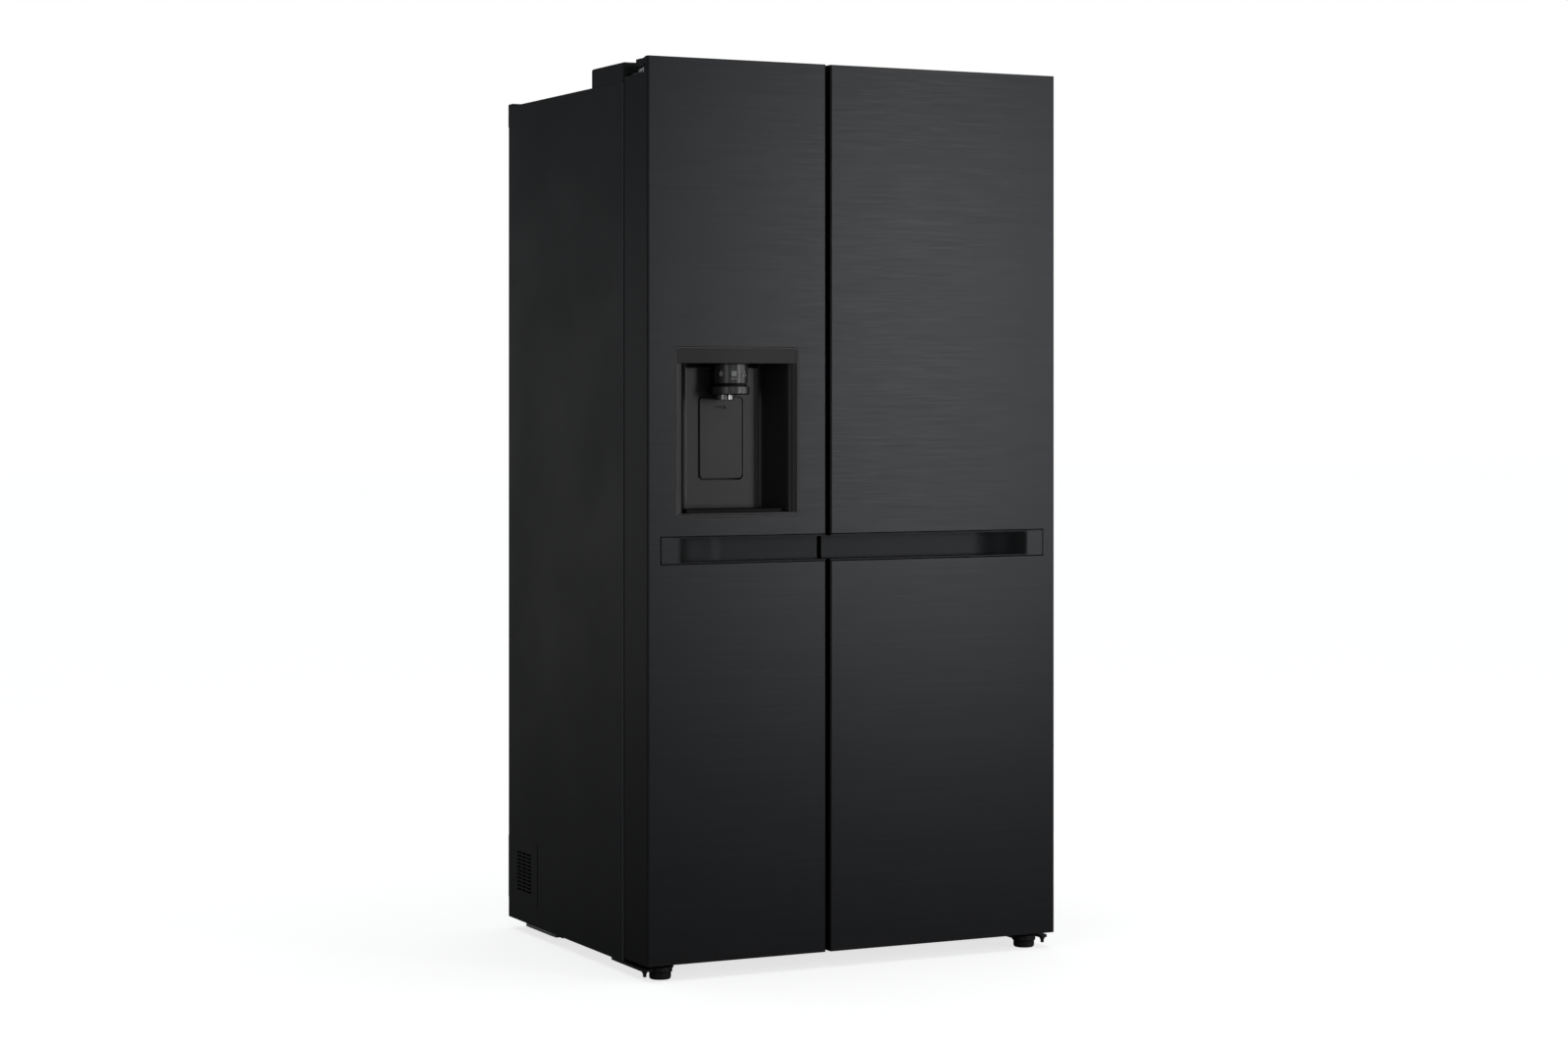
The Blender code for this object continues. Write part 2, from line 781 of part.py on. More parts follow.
def build_freezer_duct():
    """The duct cover over the evaporator, with the fan opening and its hub."""
    x, y, z = EVAPORATOR_FAN
    cover = box(
        "freezer_back_duct",
        grow(FREEZER_X, -0.0005),
        DUCT_Y,
        (STEP_Z + GAP, CAVITY_TOP_Z - GAP),
        LINER_PLASTIC,
    )
    hub_place = (x, (DUCT_Y[0] + DUCT_Y[1]) / 2, z)
    cut(cover, fan_sectors("duct_fan_cutter", hub_place, 0.018, 0.052, "Y", 0.03))
    slots = [((x - 0.10, x + 0.10), grow(DUCT_Y, PAST), (s, s + 0.010)) for s in (0.62, 1.22, 1.60)]
    cut(cover, boxes("duct_slot_cutter", slots))
    build_fan_blade("evaporator_fan_blade", EVAPORATOR_FAN, "Y", 0.049, 0.014, 0.022)


def build_fridge_duct():
    """The air tower on the fridge's back wall, with its outlets."""
    x = (0.113, 0.253)
    duct = box("fridge_back_duct", x, (0.276, CAVITY_BACK_Y - GAP), (0.640, 1.640), LINER_PLASTIC)
    slots = []
    for row in range(4):
        z = 0.78 + 0.24 * row
        slots.append((grow(x, -0.025), (0.27, 0.286), (z, z + 0.012)))
    cut(duct, boxes("fridge_duct_slot_cutter", slots))


# ---------------------------------------------------------------- compartments


def build_shelf(name, span, z, back_y, material):
    """A shelf plate between the side walls, with a round front edge."""
    shelf = box(name, grow(span, -0.0008), (SHELF_FRONT_Y, back_y), (z, z + 0.010), material)
    round_edges(
        shelf,
        0.003,
        lambda middle, direction: abs(direction.x) > 0.9 and middle.y < SHELF_FRONT_Y + 0.01,
    )


def build_bin(name, x, y, z, wall, material, front_rise=0.0):
    """An open-topped bin; its front may stand lower than its sides."""
    made = box(name, x, y, z, material)
    round_edges(
        made,
        0.004,
        lambda middle, direction: abs(direction.z) > 0.9 or middle.z < z[0] + 0.002,
        segments=1,
    )
    cut(made, box(f"{name}_cutter", grow(x, -wall), grow(y, -wall), (z[0] + wall, z[1] + PAST)))
    if front_rise:
        lower = box(
            f"{name}_front_cutter",
            grow(x, -0.03),
            (y[0] - PAST, y[0] + PAST),
            (z[1] - front_rise, z[1] + PAST),
        )
        cut(made, lower)
    return made


def build_drawer(name, x, back_y, z):
    """A clear drawer with a lowered front."""
    build_bin(name, x, (SHELF_FRONT_Y, back_y), z, 0.003, CLEAR_PLASTIC, front_rise=0.03)


def build_ice_maker():
    """The ice maker's frame with its gearbox, and the tray that twists in it."""
    axis_z = 1.590
    x_mid = -0.249
    frame = box("ice_maker", grow((x_mid, x_mid), 0.095), (-0.020, 0.228), (1.500, 1.690), LINER_PLASTIC)
    pocket = box("ice_maker_cutter", grow((x_mid, x_mid), 0.078), (-0.010, 0.165), (1.49, 1.680))
    bore = cylinder("ice_maker_bore_cutter", 0.0046, (x_mid, 0.0775, axis_z), 0.187, "Y", sides=16)
    cut(frame, pocket, bore)
    tray = box("ice_tray", grow((x_mid, x_mid), 0.055), (-0.004, 0.159), (1.568, 1.602), CLEAR_PLASTIC)
    move_origin(tray, (x_mid, 0.0775, axis_z))
    axle = cylinder("ice_tray_axle_guide", 0.004, (x_mid, 0.0775, axis_z), 0.181, "Y", sides=12)
    cups = []
    for column in range(2):
        x = x_mid + (column - 1) * 0.052
        for row in range(5):
            y = 0.0 + 0.0315 * row
            cups.append(((x + 0.003, x + 0.049), (y, y + 0.0275), (1.574, 1.62)))
    cut(join(tray, axle), boxes("ice_cup_cutter", cups))


def build_ice_bin():
    """The ice bin under the ice maker, and the wire auger that pushes ice to its outlet."""
    x_mid = -0.249
    made = build_bin("ice_bin", (-0.394, -0.104), (-0.120, 0.226), (1.270, 1.485), 0.003, CLEAR_PLASTIC)
    outlet = box("ice_outlet_cutter", grow((x_mid, x_mid), 0.040), (-0.108, -0.055), (1.26, 1.28))
    cut(made, outlet)
    axis_z, radius = 1.318, 0.030
    turns, per_turn = 4, 10
    points = [(x_mid, 0.2215, axis_z), (x_mid, 0.205, axis_z)]
    for step in range(turns * per_turn + 1):
        angle = math.tau * step / per_turn
        y = 0.195 - 0.235 * step / (turns * per_turn)
        points.append((x_mid + radius * math.sin(angle), y, axis_z + radius * math.cos(angle)))
    points += [(x_mid, -0.055, axis_z), (x_mid, -0.100, axis_z)]
    auger = tube("ice_auger", points, 0.003, BARE_STEEL, resolution=1)
    move_origin(auger, (x_mid, 0.060, axis_z))


def build_compartments():
    """Shelves, drawers and ducts of both compartments."""
    build_shelf("freezer_shelf_1", FREEZER_X, 1.080, DUCT_Y[0] - GAP, SHELF_GLASS)
    build_shelf("freezer_shelf_2", FREEZER_X, 0.640, DUCT_Y[0] - GAP, SHELF_GLASS)
    build_drawer("freezer_drawer_1", grow(FREEZER_X, -0.008), 0.222, (0.360, 0.590))
    build_drawer("freezer_drawer_2", grow(FREEZER_X, -0.008), 0.090, (0.104, 0.320))
    build_shelf("fridge_shelf_1", FRIDGE_X, 1.380, 0.272, SHELF_GLASS)
    build_shelf("fridge_shelf_2", FRIDGE_X, 1.060, 0.272, SHELF_GLASS)
    build_shelf("fridge_shelf_3", FRIDGE_X, 0.600, 0.296, SHELF_GLASS)
    build_drawer("crisper_1", grow(FRIDGE_X, -0.010), 0.290, (0.345, 0.590))
    build_drawer("crisper_2", grow(FRIDGE_X, -0.010), 0.090, (0.104, 0.325))


# ---------------------------------------------------------------- doors


def notch_span(side):
    """The X span of the hinge notch in a door's top, from its outer side."""
    return on_side(side, HALF_WIDTH - NOTCH_LENGTH, HALF_WIDTH + PAST)


def handle_cut_span(side, door, extra):
    """The X span of a door's handle slot, out past the door's inner side."""
    inner = door[1] + PAST if side < 0 else door[0] - PAST
    return tuple(sorted((side * (HANDLE_END_X + extra), inner)))


def build_door_panel(side, label, door, openings):
    """The folded steel skin of a door: its front and both sides."""
    skin = box(f"{label}_door_panel", door, (FRONT_Y, DOOR_BACK_Y), (DOOR_BOTTOM_Z, HEIGHT), BLACK_STEEL)
    round_edges(
        skin,
        0.004,
        lambda middle, direction: abs(direction.z) > 0.9 and middle.y < FRONT_Y + 0.01,
    )
    hollow = box(
        f"{label}_door_hollow_cutter",
        grow(door, -SHEET),
        (FRONT_Y + SHEET, DOOR_BACK_Y + PAST),
        (DOOR_BOTTOM_Z - PAST, HEIGHT + PAST),
    )
    notch = box(
        f"{label}_panel_notch_cutter",
        notch_span(side),
        (NOTCH_Y, DOOR_BACK_Y + PAST),
        (NOTCH_Z, HEIGHT + PAST),
    )
    slot = box(
        f"{label}_panel_handle_cutter",
        handle_cut_span(side, door, GAP),
        (FRONT_Y - PAST, FRONT_Y + HANDLE_DEPTH + GAP),
        grow(HANDLE_Z, GAP),
    )
    cut(skin, hollow, notch, slot, *openings)


def build_door_core(side, label, door, openings):
    """The foamed core of a door with its end caps, which carry the hinge pins."""
    core = box(
        f"{label}_door_core",
        grow(door, -SHEET - GAP),
        (FRONT_Y + SHEET + GAP, DOOR_BACK_Y),
        (DOOR_BOTTOM_Z + 0.0005, HEIGHT - 0.0015),
        CAP_PLASTIC,
    )
    round_edges(
        core,
        0.004,
        lambda middle, direction: abs(direction.z) > 0.9 and middle.y < FRONT_Y + 0.01,
    )
    notch = box(
        f"{label}_core_notch_cutter",
        notch_span(side),
        (NOTCH_Y, DOOR_BACK_Y + PAST),
        (NOTCH_Z, HEIGHT + PAST),
    )
    slot = box(
        f"{label}_core_handle_cutter",
        handle_cut_span(side, door, GAP),
        (FRONT_Y - PAST, FRONT_Y + HANDLE_DEPTH + GAP),
        grow(HANDLE_Z, GAP),
    )
    pins = []
    for end, z in (("top", NOTCH_Z), ("bottom", DOOR_BOTTOM_Z)):
        pin = cylinder(
            f"{label}_{end}_pin_cutter",
            PIN_HOLE_RADIUS,
            (side * HINGE_X, HINGE_Y, z),
            0.034,
            sides=16,
        )
        pins.append(pin)
    cut(core, notch, slot, *pins, *openings)


def build_door_liner(side, label, cavity):
    """The raised walls on a door's inner face, which its baskets hang between."""
    outer = dike_span(side, cavity)
    depth = (DOOR_BACK_Y + GAP, DOOR_BACK_Y + DIKE_DEPTH)
    height = (CAVITY_BOTTOM_Z + 0.015, CAVITY_TOP_Z - 0.015)
    wall = box(f"{label}_door_liner", outer, depth, height, LINER_PLASTIC)
    round_edges(wall, 0.006, lambda middle, direction: middle.y > DOOR_BACK_Y + 0.05, segments=1)
    hollow = box(
        f"{label}_dike_cutter",
        grow(outer, -0.014),
        grow(depth, PAST),
        grow(height, -0.014),
    )
    cut(wall, hollow)


def dike_span(side, cavity):
    """The X span of a door's raised inner walls: closer to the cavity wall on the hinge side."""
    hinge_margin, free_margin = 0.010, 0.020
    if side < 0:
        return (cavity[0] + hinge_margin, cavity[1] - free_margin)
    return (cavity[0] + free_margin, cavity[1] - hinge_margin)


def build_gasket(side, label, x):
    """The magnetic seal around a door's back, as a plain frame."""
    y = (DOOR_BACK_Y + GAP, CASE_FRONT_Y - GAP)
    z = (0.0605, 1.7395)
    gasket = box(f"{label}_gasket", x, y, z, GASKET_RUBBER)
    opening = box(
        f"{label}_gasket_cutter",
        grow(x, -GASKET_WIDTH),
        grow(y, PAST),
        grow(z, -GASKET_WIDTH),
    )
    cut(gasket, opening)


def build_handle(side, label, door):
    """The recessed grip across a door, closed at its outer end and open at the door gap."""
    outer = side * HANDLE_END_X
    inner = door[1] - GAP if side < 0 else door[0] + GAP
    handle = box(
        f"{label}_handle",
        tuple(sorted((outer, inner))),
        (FRONT_Y, FRONT_Y + HANDLE_DEPTH),
        HANDLE_Z,
        HANDLE_PLASTIC,
    )
    past = door[1] + PAST if side < 0 else door[0] - PAST
    mouth = box(
        f"{label}_grip_mouth_cutter",
        tuple(sorted((side * (HANDLE_POCKET_X - 0.010), past))),
        (FRONT_Y - PAST, FRONT_Y + 0.02),
        grow(HANDLE_Z, -HANDLE_WALL),
    )
    pocket = box(
        f"{label}_grip_pocket_cutter",
        tuple(sorted((side * HANDLE_POCKET_X, past))),
        (FRONT_Y + 0.008, FRONT_Y + HANDLE_DEPTH - HANDLE_WALL),
        grow(HANDLE_Z, -HANDLE_WALL),
    )
    round_edges(
        pocket,
        0.012,
        lambda middle, direction: abs(direction.x) > 0.9 and middle.y > FRONT_Y + 0.03,
        segments=3,
    )
    cut(handle, mouth, pocket)


def build_basket(label, index, side, cavity, z, height):
    """A door basket between the raised walls of the door's liner."""
    inner = grow(dike_span(side, cavity), -0.0165)
    build_bin(
        f"{label}_basket_{index}",
        inner,
        (DOOR_BACK_Y + 0.001, DOOR_BACK_Y + BASKET_DEPTH),
        (z, z + height),
        0.003,
        CLEAR_PLASTIC,
    )


# ---------------------------------------------------------------- dispenser


def dispenser_opening(name, clearance):
    """The cutter for the dispenser in the door's skin or core."""
    return box(
        name,
        grow(DISPENSER_X, clearance),
        (FRONT_Y - PAST, HOUSING_BACK_Y + GAP),
        grow(DISPENSER_Z, clearance),
    )


def chute_opening(name, clearance):
    """The cutter for the ice chute in the door's core."""
    return box(
        name,
        grow((DIAL_X - 0.045, DIAL_X + 0.045), clearance),
        (FRONT_Y + 0.018 - clearance, DOOR_BACK_Y + PAST),
        grow((DISPENSER_Z[1] - GAP, 1.310), clearance),
    )


def build_bezel():
    """The thin frame and the flush band above the recess."""
    bezel = box("dispenser_frame", DISPENSER_X, (FRONT_Y, BEZEL_BACK_Y), DISPENSER_Z, DISPENSER_PLASTIC)
    round_edges(bezel, 0.005, along("Y"))
    opening = box(
        "bezel_cutter",
        grow(DISPENSER_X, -0.0025),
        (FRONT_Y - PAST, BEZEL_BACK_Y + PAST),
        (DISPENSER_Z[0] + 0.004, RECESS_TOP_Z),
    )
    cut(bezel, opening)


def tapered_recess():
    """The cutter for the recess, which narrows towards its back."""
    shape = box(
        "recess_cutter",
        (DISPENSER_X[0] + 0.004, DISPENSER_X[1] - 0.004),
        (FRONT_Y, RECESS_BACK_Y),
        (RECESS_FLOOR_Z, RECESS_TOP_Z + 0.003),
    )
    narrow = 0.027
    for vertex in shape.data.vertices:
        if vertex.co.y > 0:
            vertex.co.x -= math.copysign(narrow, vertex.co.x)
    return shape


def build_housing():
    """The moulded recess behind the bezel, with a pocket for the paddle and a hole for the chute."""
    housing = box(
        "dispenser_housing",
        grow(DISPENSER_X, -GAP),
        (BEZEL_BACK_Y + GAP, HOUSING_BACK_Y),
        grow(DISPENSER_Z, -GAP),
        DISPENSER_PLASTIC,
    )
    paddle_pocket = box(
        "paddle_pocket_cutter",
        grow(PADDLE_X, 0.005),
        (RECESS_BACK_Y - PAST, RECESS_BACK_Y + 0.010),
        (PADDLE_Z[0] - 0.006, PADDLE_Z[1] + 0.001),
    )
    throat = cylinder("chute_throat_cutter", CHUTE_RADIUS + 0.001, (DIAL_X, DIAL_Y, 1.22), 0.06)
    cut(housing, tapered_recess(), paddle_pocket, throat)


def build_head():
    """The fixed head under the dial: a ring around the chute and the arm that carries it."""
    ring = cylinder(
        "dispenser_head",
        HEAD_RING_RADIUS,
        (DIAL_X, DIAL_Y, sum(HEAD_Z) / 2),
        HEAD_Z[1] - HEAD_Z[0],
        "Z",
        DISPENSER_PLASTIC,
        28,
    )
    arm = box(
        "head_arm_guide",
        (DIAL_X - 0.034, DIAL_X + 0.030),
        (DIAL_Y + 0.012, RECESS_BACK_Y - GAP),
        grow(HEAD_Z, -0.0005),
    )
    post = box(
        "head_post_guide",
        (DIAL_X - 0.034, DIAL_X + 0.030),
        (DIAL_Y + DIAL_RADIUS + 0.001, RECESS_BACK_Y - GAP),
        (HEAD_Z[0] + 0.0005, RECESS_TOP_Z + 0.002),
    )
    bore = cylinder("head_bore_cutter", CHUTE_RADIUS + 0.001, (DIAL_X, DIAL_Y, 1.144), 0.04)
    cut(join(ring, arm, post), bore)


def build_dial():
    """The ring-shaped selector that turns about the ice chute."""
    middle = (DIAL_X, DIAL_Y, sum(DIAL_Z) / 2)
    height = DIAL_Z[1] - DIAL_Z[0]
    dial = cylinder("dispenser_dial", DIAL_RADIUS, middle, height, "Z", DIAL_METAL, 32)
    cut(dial, cylinder("dial_bore_cutter", DIAL_RADIUS - 0.005, middle, 0.06, sides=24))


def build_chute():
    """The ice chute: an inlet at the back of the door and a tube down through the dial."""
    inlet = box(
        "ice_chute",
        (DIAL_X - 0.044, DIAL_X + 0.044),
        (FRONT_Y + 0.020, DOOR_BACK_Y),
        (DISPENSER_Z[1] + 2 * GAP, 1.308),
        CAP_PLASTIC,
    )
    spout = cylinder("chute_tube_guide", CHUTE_RADIUS, (DIAL_X, DIAL_Y, 1.178), 0.114)
    mouth = box(
        "chute_mouth_cutter",
        (DIAL_X - 0.041, DIAL_X + 0.041),
        (FRONT_Y + 0.023, DOOR_BACK_Y + PAST),
        (DISPENSER_Z[1] + 0.004, 1.305),
    )
    bore = cylinder("chute_bore_cutter", CHUTE_RADIUS - 0.0025, (DIAL_X, DIAL_Y, 1.18), 0.15)
    cut(join(inlet, spout), mouth, bore)


def build_paddle():
    """The push plate at the back of the recess, hung from its top edge."""
    paddle = box("dispenser_paddle", PADDLE_X, PADDLE_Y, PADDLE_Z, DISPENSER_PLASTIC)
    round_edges(paddle, 0.008, along("Y"))
    move_origin(paddle, (sum(PADDLE_X) / 2, PADDLE_Y[1] + 0.002, PADDLE_AXIS_Z))
    hanger = box(
        "paddle_hanger_guide",
        grow((sum(PADDLE_X) / 2,) * 2, 0.030),
        (PADDLE_Y[1] - 0.001, RECESS_BACK_Y + 0.002),
        grow((PADDLE_AXIS_Z, PADDLE_AXIS_Z), 0.005),
    )
    join(paddle, hanger)


def build_drip_tray():
    """The drip tray with its slotted grille on the floor of the recess."""
    x = (-0.366, -0.163)
    y = (FRONT_Y + 0.014, RECESS_BACK_Y - 0.012)
    tray = box("drip_tray", x, y, (RECESS_FLOOR_Z + GAP, RECESS_FLOOR_Z + 0.007), DISPENSER_PLASTIC)
    slots = []
    for index in range(8):
        middle = -0.3525 + 0.025 * index
        z = (RECESS_FLOOR_Z + 0.002, RECESS_FLOOR_Z + 0.02)
        slots.append((grow((middle, middle), 0.004), grow(y, -0.008), z))
    cut(tray, boxes("drip_slot_cutter", slots))


# ---------------------------------------------------------------- assembly


def build_cabinet():
    build_outer_case()
    build_back_sheets()
    build_base()
    build_liner("freezer_liner", FREEZER_X, (-FLANGE_X + GAP, FREEZER_X[1] + LINER / 2))
    build_liner("fridge_liner", FRIDGE_X, (FRIDGE_X[0] - LINER / 2, FLANGE_X - GAP))
    build_foam()
    build_rear_cap()
    for side, label in ((-1, "left"), (1, "right")):
        build_top_hinge(side, label)
        build_bottom_hinge(side, label)
        build_foot(side, label)
        build_roller(side, label)


def build_machinery():
    build_compressor()
    build_condenser()
    build_condenser_fan()
    build_evaporator()
    build_freezer_duct()
    build_fridge_duct()
    build_ice_maker()
    build_ice_bin()


def build_freezer_door():
    side, door = -1, FREEZER_DOOR_X
    build_door_panel(side, "freezer", door, [dispenser_opening("dispenser_skin_cutter", GAP)])
    openings = [dispenser_opening("dispenser_core_cutter", GAP), chute_opening("chute_core_cutter", 0.0)]
    build_door_core(side, "freezer", door, openings)
    build_door_liner(side, "freezer", FREEZER_X)
    build_gasket(side, "freezer", (-0.4350, -0.0720))
    build_handle(side, "freezer", door)
    for index, (z, height) in enumerate(((0.470, 0.110), (0.150, 0.130)), 1):
        build_basket("freezer", index, side, FREEZER_X, z, height)


def build_fridge_door():
    side, door = 1, FRIDGE_DOOR_X
    build_door_panel(side, "fridge", door, [])
    build_door_core(side, "fridge", door, [])
    build_door_liner(side, "fridge", FRIDGE_X)
    build_gasket(side, "fridge", (-0.0590, 0.4350))
    build_handle(side, "fridge", door)
    for index, (z, height) in enumerate(((1.300, 0.100), (0.300, 0.140)), 1):
        build_basket("fridge", index, side, FRIDGE_X, z, height)


def build_dispenser():
    build_bezel()
    build_housing()
    build_head()
    build_dial()
    build_chute()
    build_paddle()
    build_drip_tray()


build_cabinet()
build_machinery()
build_compartments()
build_freezer_door()
build_fridge_door()
build_dispenser()
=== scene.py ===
"""Side by side refrigerator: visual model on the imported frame."""

import json
import math

import bmesh
import bpy
from mathutils import Matrix, Vector


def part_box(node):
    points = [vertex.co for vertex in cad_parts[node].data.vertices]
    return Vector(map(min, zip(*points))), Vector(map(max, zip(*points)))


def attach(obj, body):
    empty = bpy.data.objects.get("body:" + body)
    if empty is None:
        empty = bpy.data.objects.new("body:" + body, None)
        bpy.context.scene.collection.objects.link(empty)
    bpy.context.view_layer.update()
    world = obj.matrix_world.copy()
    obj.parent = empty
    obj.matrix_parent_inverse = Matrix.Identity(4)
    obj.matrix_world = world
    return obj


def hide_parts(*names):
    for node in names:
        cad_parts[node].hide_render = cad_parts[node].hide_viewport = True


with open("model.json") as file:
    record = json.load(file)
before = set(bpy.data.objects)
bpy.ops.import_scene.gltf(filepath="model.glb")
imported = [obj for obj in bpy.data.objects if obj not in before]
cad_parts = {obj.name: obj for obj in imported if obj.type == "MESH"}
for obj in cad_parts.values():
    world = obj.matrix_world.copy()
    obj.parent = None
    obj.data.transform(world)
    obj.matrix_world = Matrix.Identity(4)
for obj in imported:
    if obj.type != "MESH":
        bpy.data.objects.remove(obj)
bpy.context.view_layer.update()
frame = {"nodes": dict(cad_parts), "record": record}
NODES = frame["nodes"]
BODY_OF = {
    node: body
    for body, members in frame["record"]["behaviour"]["bodies"].items()
    for node in members
}

CABINET = "cabinet"
FREEZER = "freezer_door"
LEFT, RIGHT = -1, 1


def span(node):
    """The X, Y and Z spans of a CAD node."""
    low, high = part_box(node)
    return tuple((low[axis], high[axis]) for axis in range(3))


def grow(pair, amount):
    return pair[0] - amount, pair[1] + amount


def about(middle, half):
    return middle - half, middle + half


def on_side(side, inner, outer):
    """An X span given by its distances from the middle plane."""
    return tuple(sorted((side * inner, side * outer)))


def inner_end(side, pair):
    """The end of a door part's X span that is nearer to the door gap."""
    return pair[1] if side < 0 else pair[0]


def outer_end(side, pair):
    return pair[0] if side < 0 else pair[1]


def off_wall(wall, way, depth):
    """A span from just inside a wall to a depth in front of it; way is the side it faces."""
    return tuple(sorted((wall - way * SUNK, wall + way * depth)))


# ---------------------------------------------------------------- materials


class Shader:
    """A Principled material with helpers that add procedural detail."""

    def __init__(self, name, colour, roughness, metallic=0.0, specular=0.5):
        self.material = bpy.data.materials.new(name)
        self.material.use_nodes = True
        self.tree = self.material.node_tree
        self.out = self.tree.nodes["Principled BSDF"]
        self.colour = colour
        self.roughness = roughness
        self.out.inputs["Base Color"].default_value = (*colour, 1.0)
        self.out.inputs["Roughness"].default_value = roughness
        self.out.inputs["Metallic"].default_value = metallic
        self.out.inputs["Specular IOR Level"].default_value = specular
        self.coords = None
        self.last_normal = None

    def node(self, kind, **settings):
        made = self.tree.nodes.new(kind)
        for key, value in settings.items():
            setattr(made, key, value)
        return made

    def link(self, source, target):
        self.tree.links.new(source, target)

    def place(self, scale):
        """Object coordinates, stretched by a scale along each axis."""
        if self.coords is None:
            self.coords = self.node("ShaderNodeTexCoord")
        mapping = self.node("ShaderNodeMapping")
        mapping.inputs["Scale"].default_value = scale
        self.link(self.coords.outputs["Object"], mapping.inputs["Vector"])
        return mapping.outputs["Vector"]

    def noise(self, scale, detail=3.0, stretch=(1.0, 1.0, 1.0), rough=0.5):
        texture = self.node("ShaderNodeTexNoise")
        texture.inputs["Scale"].default_value = scale
        texture.inputs["Detail"].default_value = detail
        texture.inputs["Roughness"].default_value = rough
        self.link(self.place(stretch), texture.inputs["Vector"])
        return texture.outputs["Fac"]

    def vary_roughness(self, source, spread):
        """Roughness goes from -spread to +spread about its value with the source."""
        ramp = self.node("ShaderNodeMapRange")
        ramp.inputs["From Min"].default_value = 0.25
        ramp.inputs["From Max"].default_value = 0.75
        ramp.inputs["To Min"].default_value = max(self.roughness - spread, 0.02)
        ramp.inputs["To Max"].default_value = min(self.roughness + spread, 1.0)
        self.link(source, ramp.inputs["Value"])
        self.link(ramp.outputs["Result"], self.out.inputs["Roughness"])
        return self

    def vary_colour(self, source, spread):
        """Colour goes from darker to lighter by a share of itself with the source."""
        ramp = self.node("ShaderNodeValToRGB")
        ramp.color_ramp.elements[0].position = 0.3
        ramp.color_ramp.elements[1].position = 0.7
        low = [c * (1.0 - spread) for c in self.colour]
        high = [min(c * (1.0 + spread), 1.0) for c in self.colour]
        ramp.color_ramp.elements[0].color = (*low, 1.0)
        ramp.color_ramp.elements[1].color = (*high, 1.0)
        self.link(source, ramp.inputs["Fac"])
        self.link(ramp.outputs["Color"], self.out.inputs["Base Color"])
        return self

    def bump(self, source, strength, distance):
        bump = self.node("ShaderNodeBump")
        bump.inputs["Strength"].default_value = strength
        bump.inputs["Distance"].default_value = distance
        self.link(source, bump.inputs["Height"])
        if self.last_normal is not None:
            self.link(self.last_normal, bump.inputs["Normal"])
        self.last_normal = bump.outputs["Normal"]
        self.link(self.last_normal, self.out.inputs["Normal"])
        return self


def finish(material):
    """Return a material as it is."""
    return material


def brushed(name, colour, roughness, stretch, metallic=0.85, contrast=0.06, scale=1100.0):
    """Metal with fine brushing along one direction."""
    shader = Shader(name, colour, roughness, metallic)
    fine = shader.noise(scale, 2.0, stretch, 0.6)
    broad = shader.noise(scale / 5.0, 3.0, stretch, 0.6)
    shader.vary_roughness(fine, 0.05)
    shader.vary_colour(broad, contrast)
    shader.bump(fine, 0.12, 0.00003)
    return finish(shader.material)


def moulded(name, colour, roughness, grain=900.0, strength=0.12, specular=0.5):
    """Painted or moulded surface with a fine orange-peel grain."""
    shader = Shader(name, colour, roughness, specular=specular)
    peel = shader.noise(grain, 2.0)
    cloud = shader.noise(5.0, 2.0)
    shader.vary_roughness(cloud, 0.04)
    shader.vary_colour(peel, 0.06)
    shader.bump(peel, strength, 0.00008)
    return finish(shader.material)


def clear(name, colour, roughness, transmission, ior=1.49):
    """Clear plastic or glass."""
    shader = Shader(name, colour, roughness)
    shader.out.inputs["Transmission Weight"].default_value = transmission
    shader.out.inputs["IOR"].default_value = ior
    shader.vary_roughness(shader.noise(14.0, 2.0), 0.02)
    return finish(shader.material)


ALONG_X = (0.012, 1.0, 1.0)
ALONG_Y = (1.0, 0.02, 1.0)
ALONG_Z = (1.0, 1.0, 0.02)
EVEN = (1.0, 1.0, 1.0)

DOOR_STEEL = brushed("door_steel", (0.047, 0.048, 0.051), 0.345, ALONG_X)
# a darker copy of the door steel for the skin's side faces: painted shade
DOOR_SIDE_SHADE = brushed("door_side_shade", (0.024, 0.025, 0.027), 0.42, ALONG_X, metallic=0.7)
CASE_PAINT = moulded("case_paint", (0.0078, 0.0086, 0.0104), 0.46, 800.0)
# light paint for the rods on the case's front folds: a painted highlight
FOLD_HIGHLIGHT = moulded("fold_painted_highlight", (0.150, 0.155, 0.165), 0.4)
# near-black and hardly reflective: painted shade behind the vent slots
VENT_SHADE = moulded(
    "vent_shade_black", (0.001, 0.001, 0.001), 0.9, 800.0, strength=0.1, specular=0.05
)
CAP_PLASTIC = moulded("cap_plastic", (0.0135, 0.0138, 0.0150), 0.5, strength=0.2)
HANDLE_PLASTIC = brushed(
    "handle_plastic", (0.027, 0.028, 0.030), 0.38, EVEN, 0.8, 0.05, 700.0
)
DISPENSER_PLASTIC = moulded(
    "dispenser_plastic", (0.026, 0.0254, 0.0242), 0.33, specular=0.48
)
BAND_PLASTIC = moulded(
    "band_plastic", (0.015, 0.0145, 0.0135), 0.36, strength=0.1, specular=0.39
)
# light plastic for the dispenser's outline, also for the strips that paint a highlight in the
# recess
EDGE_PLASTIC_AND_HIGHLIGHT = moulded("edge_plastic_and_highlight", (0.110, 0.109, 0.107), 0.34)
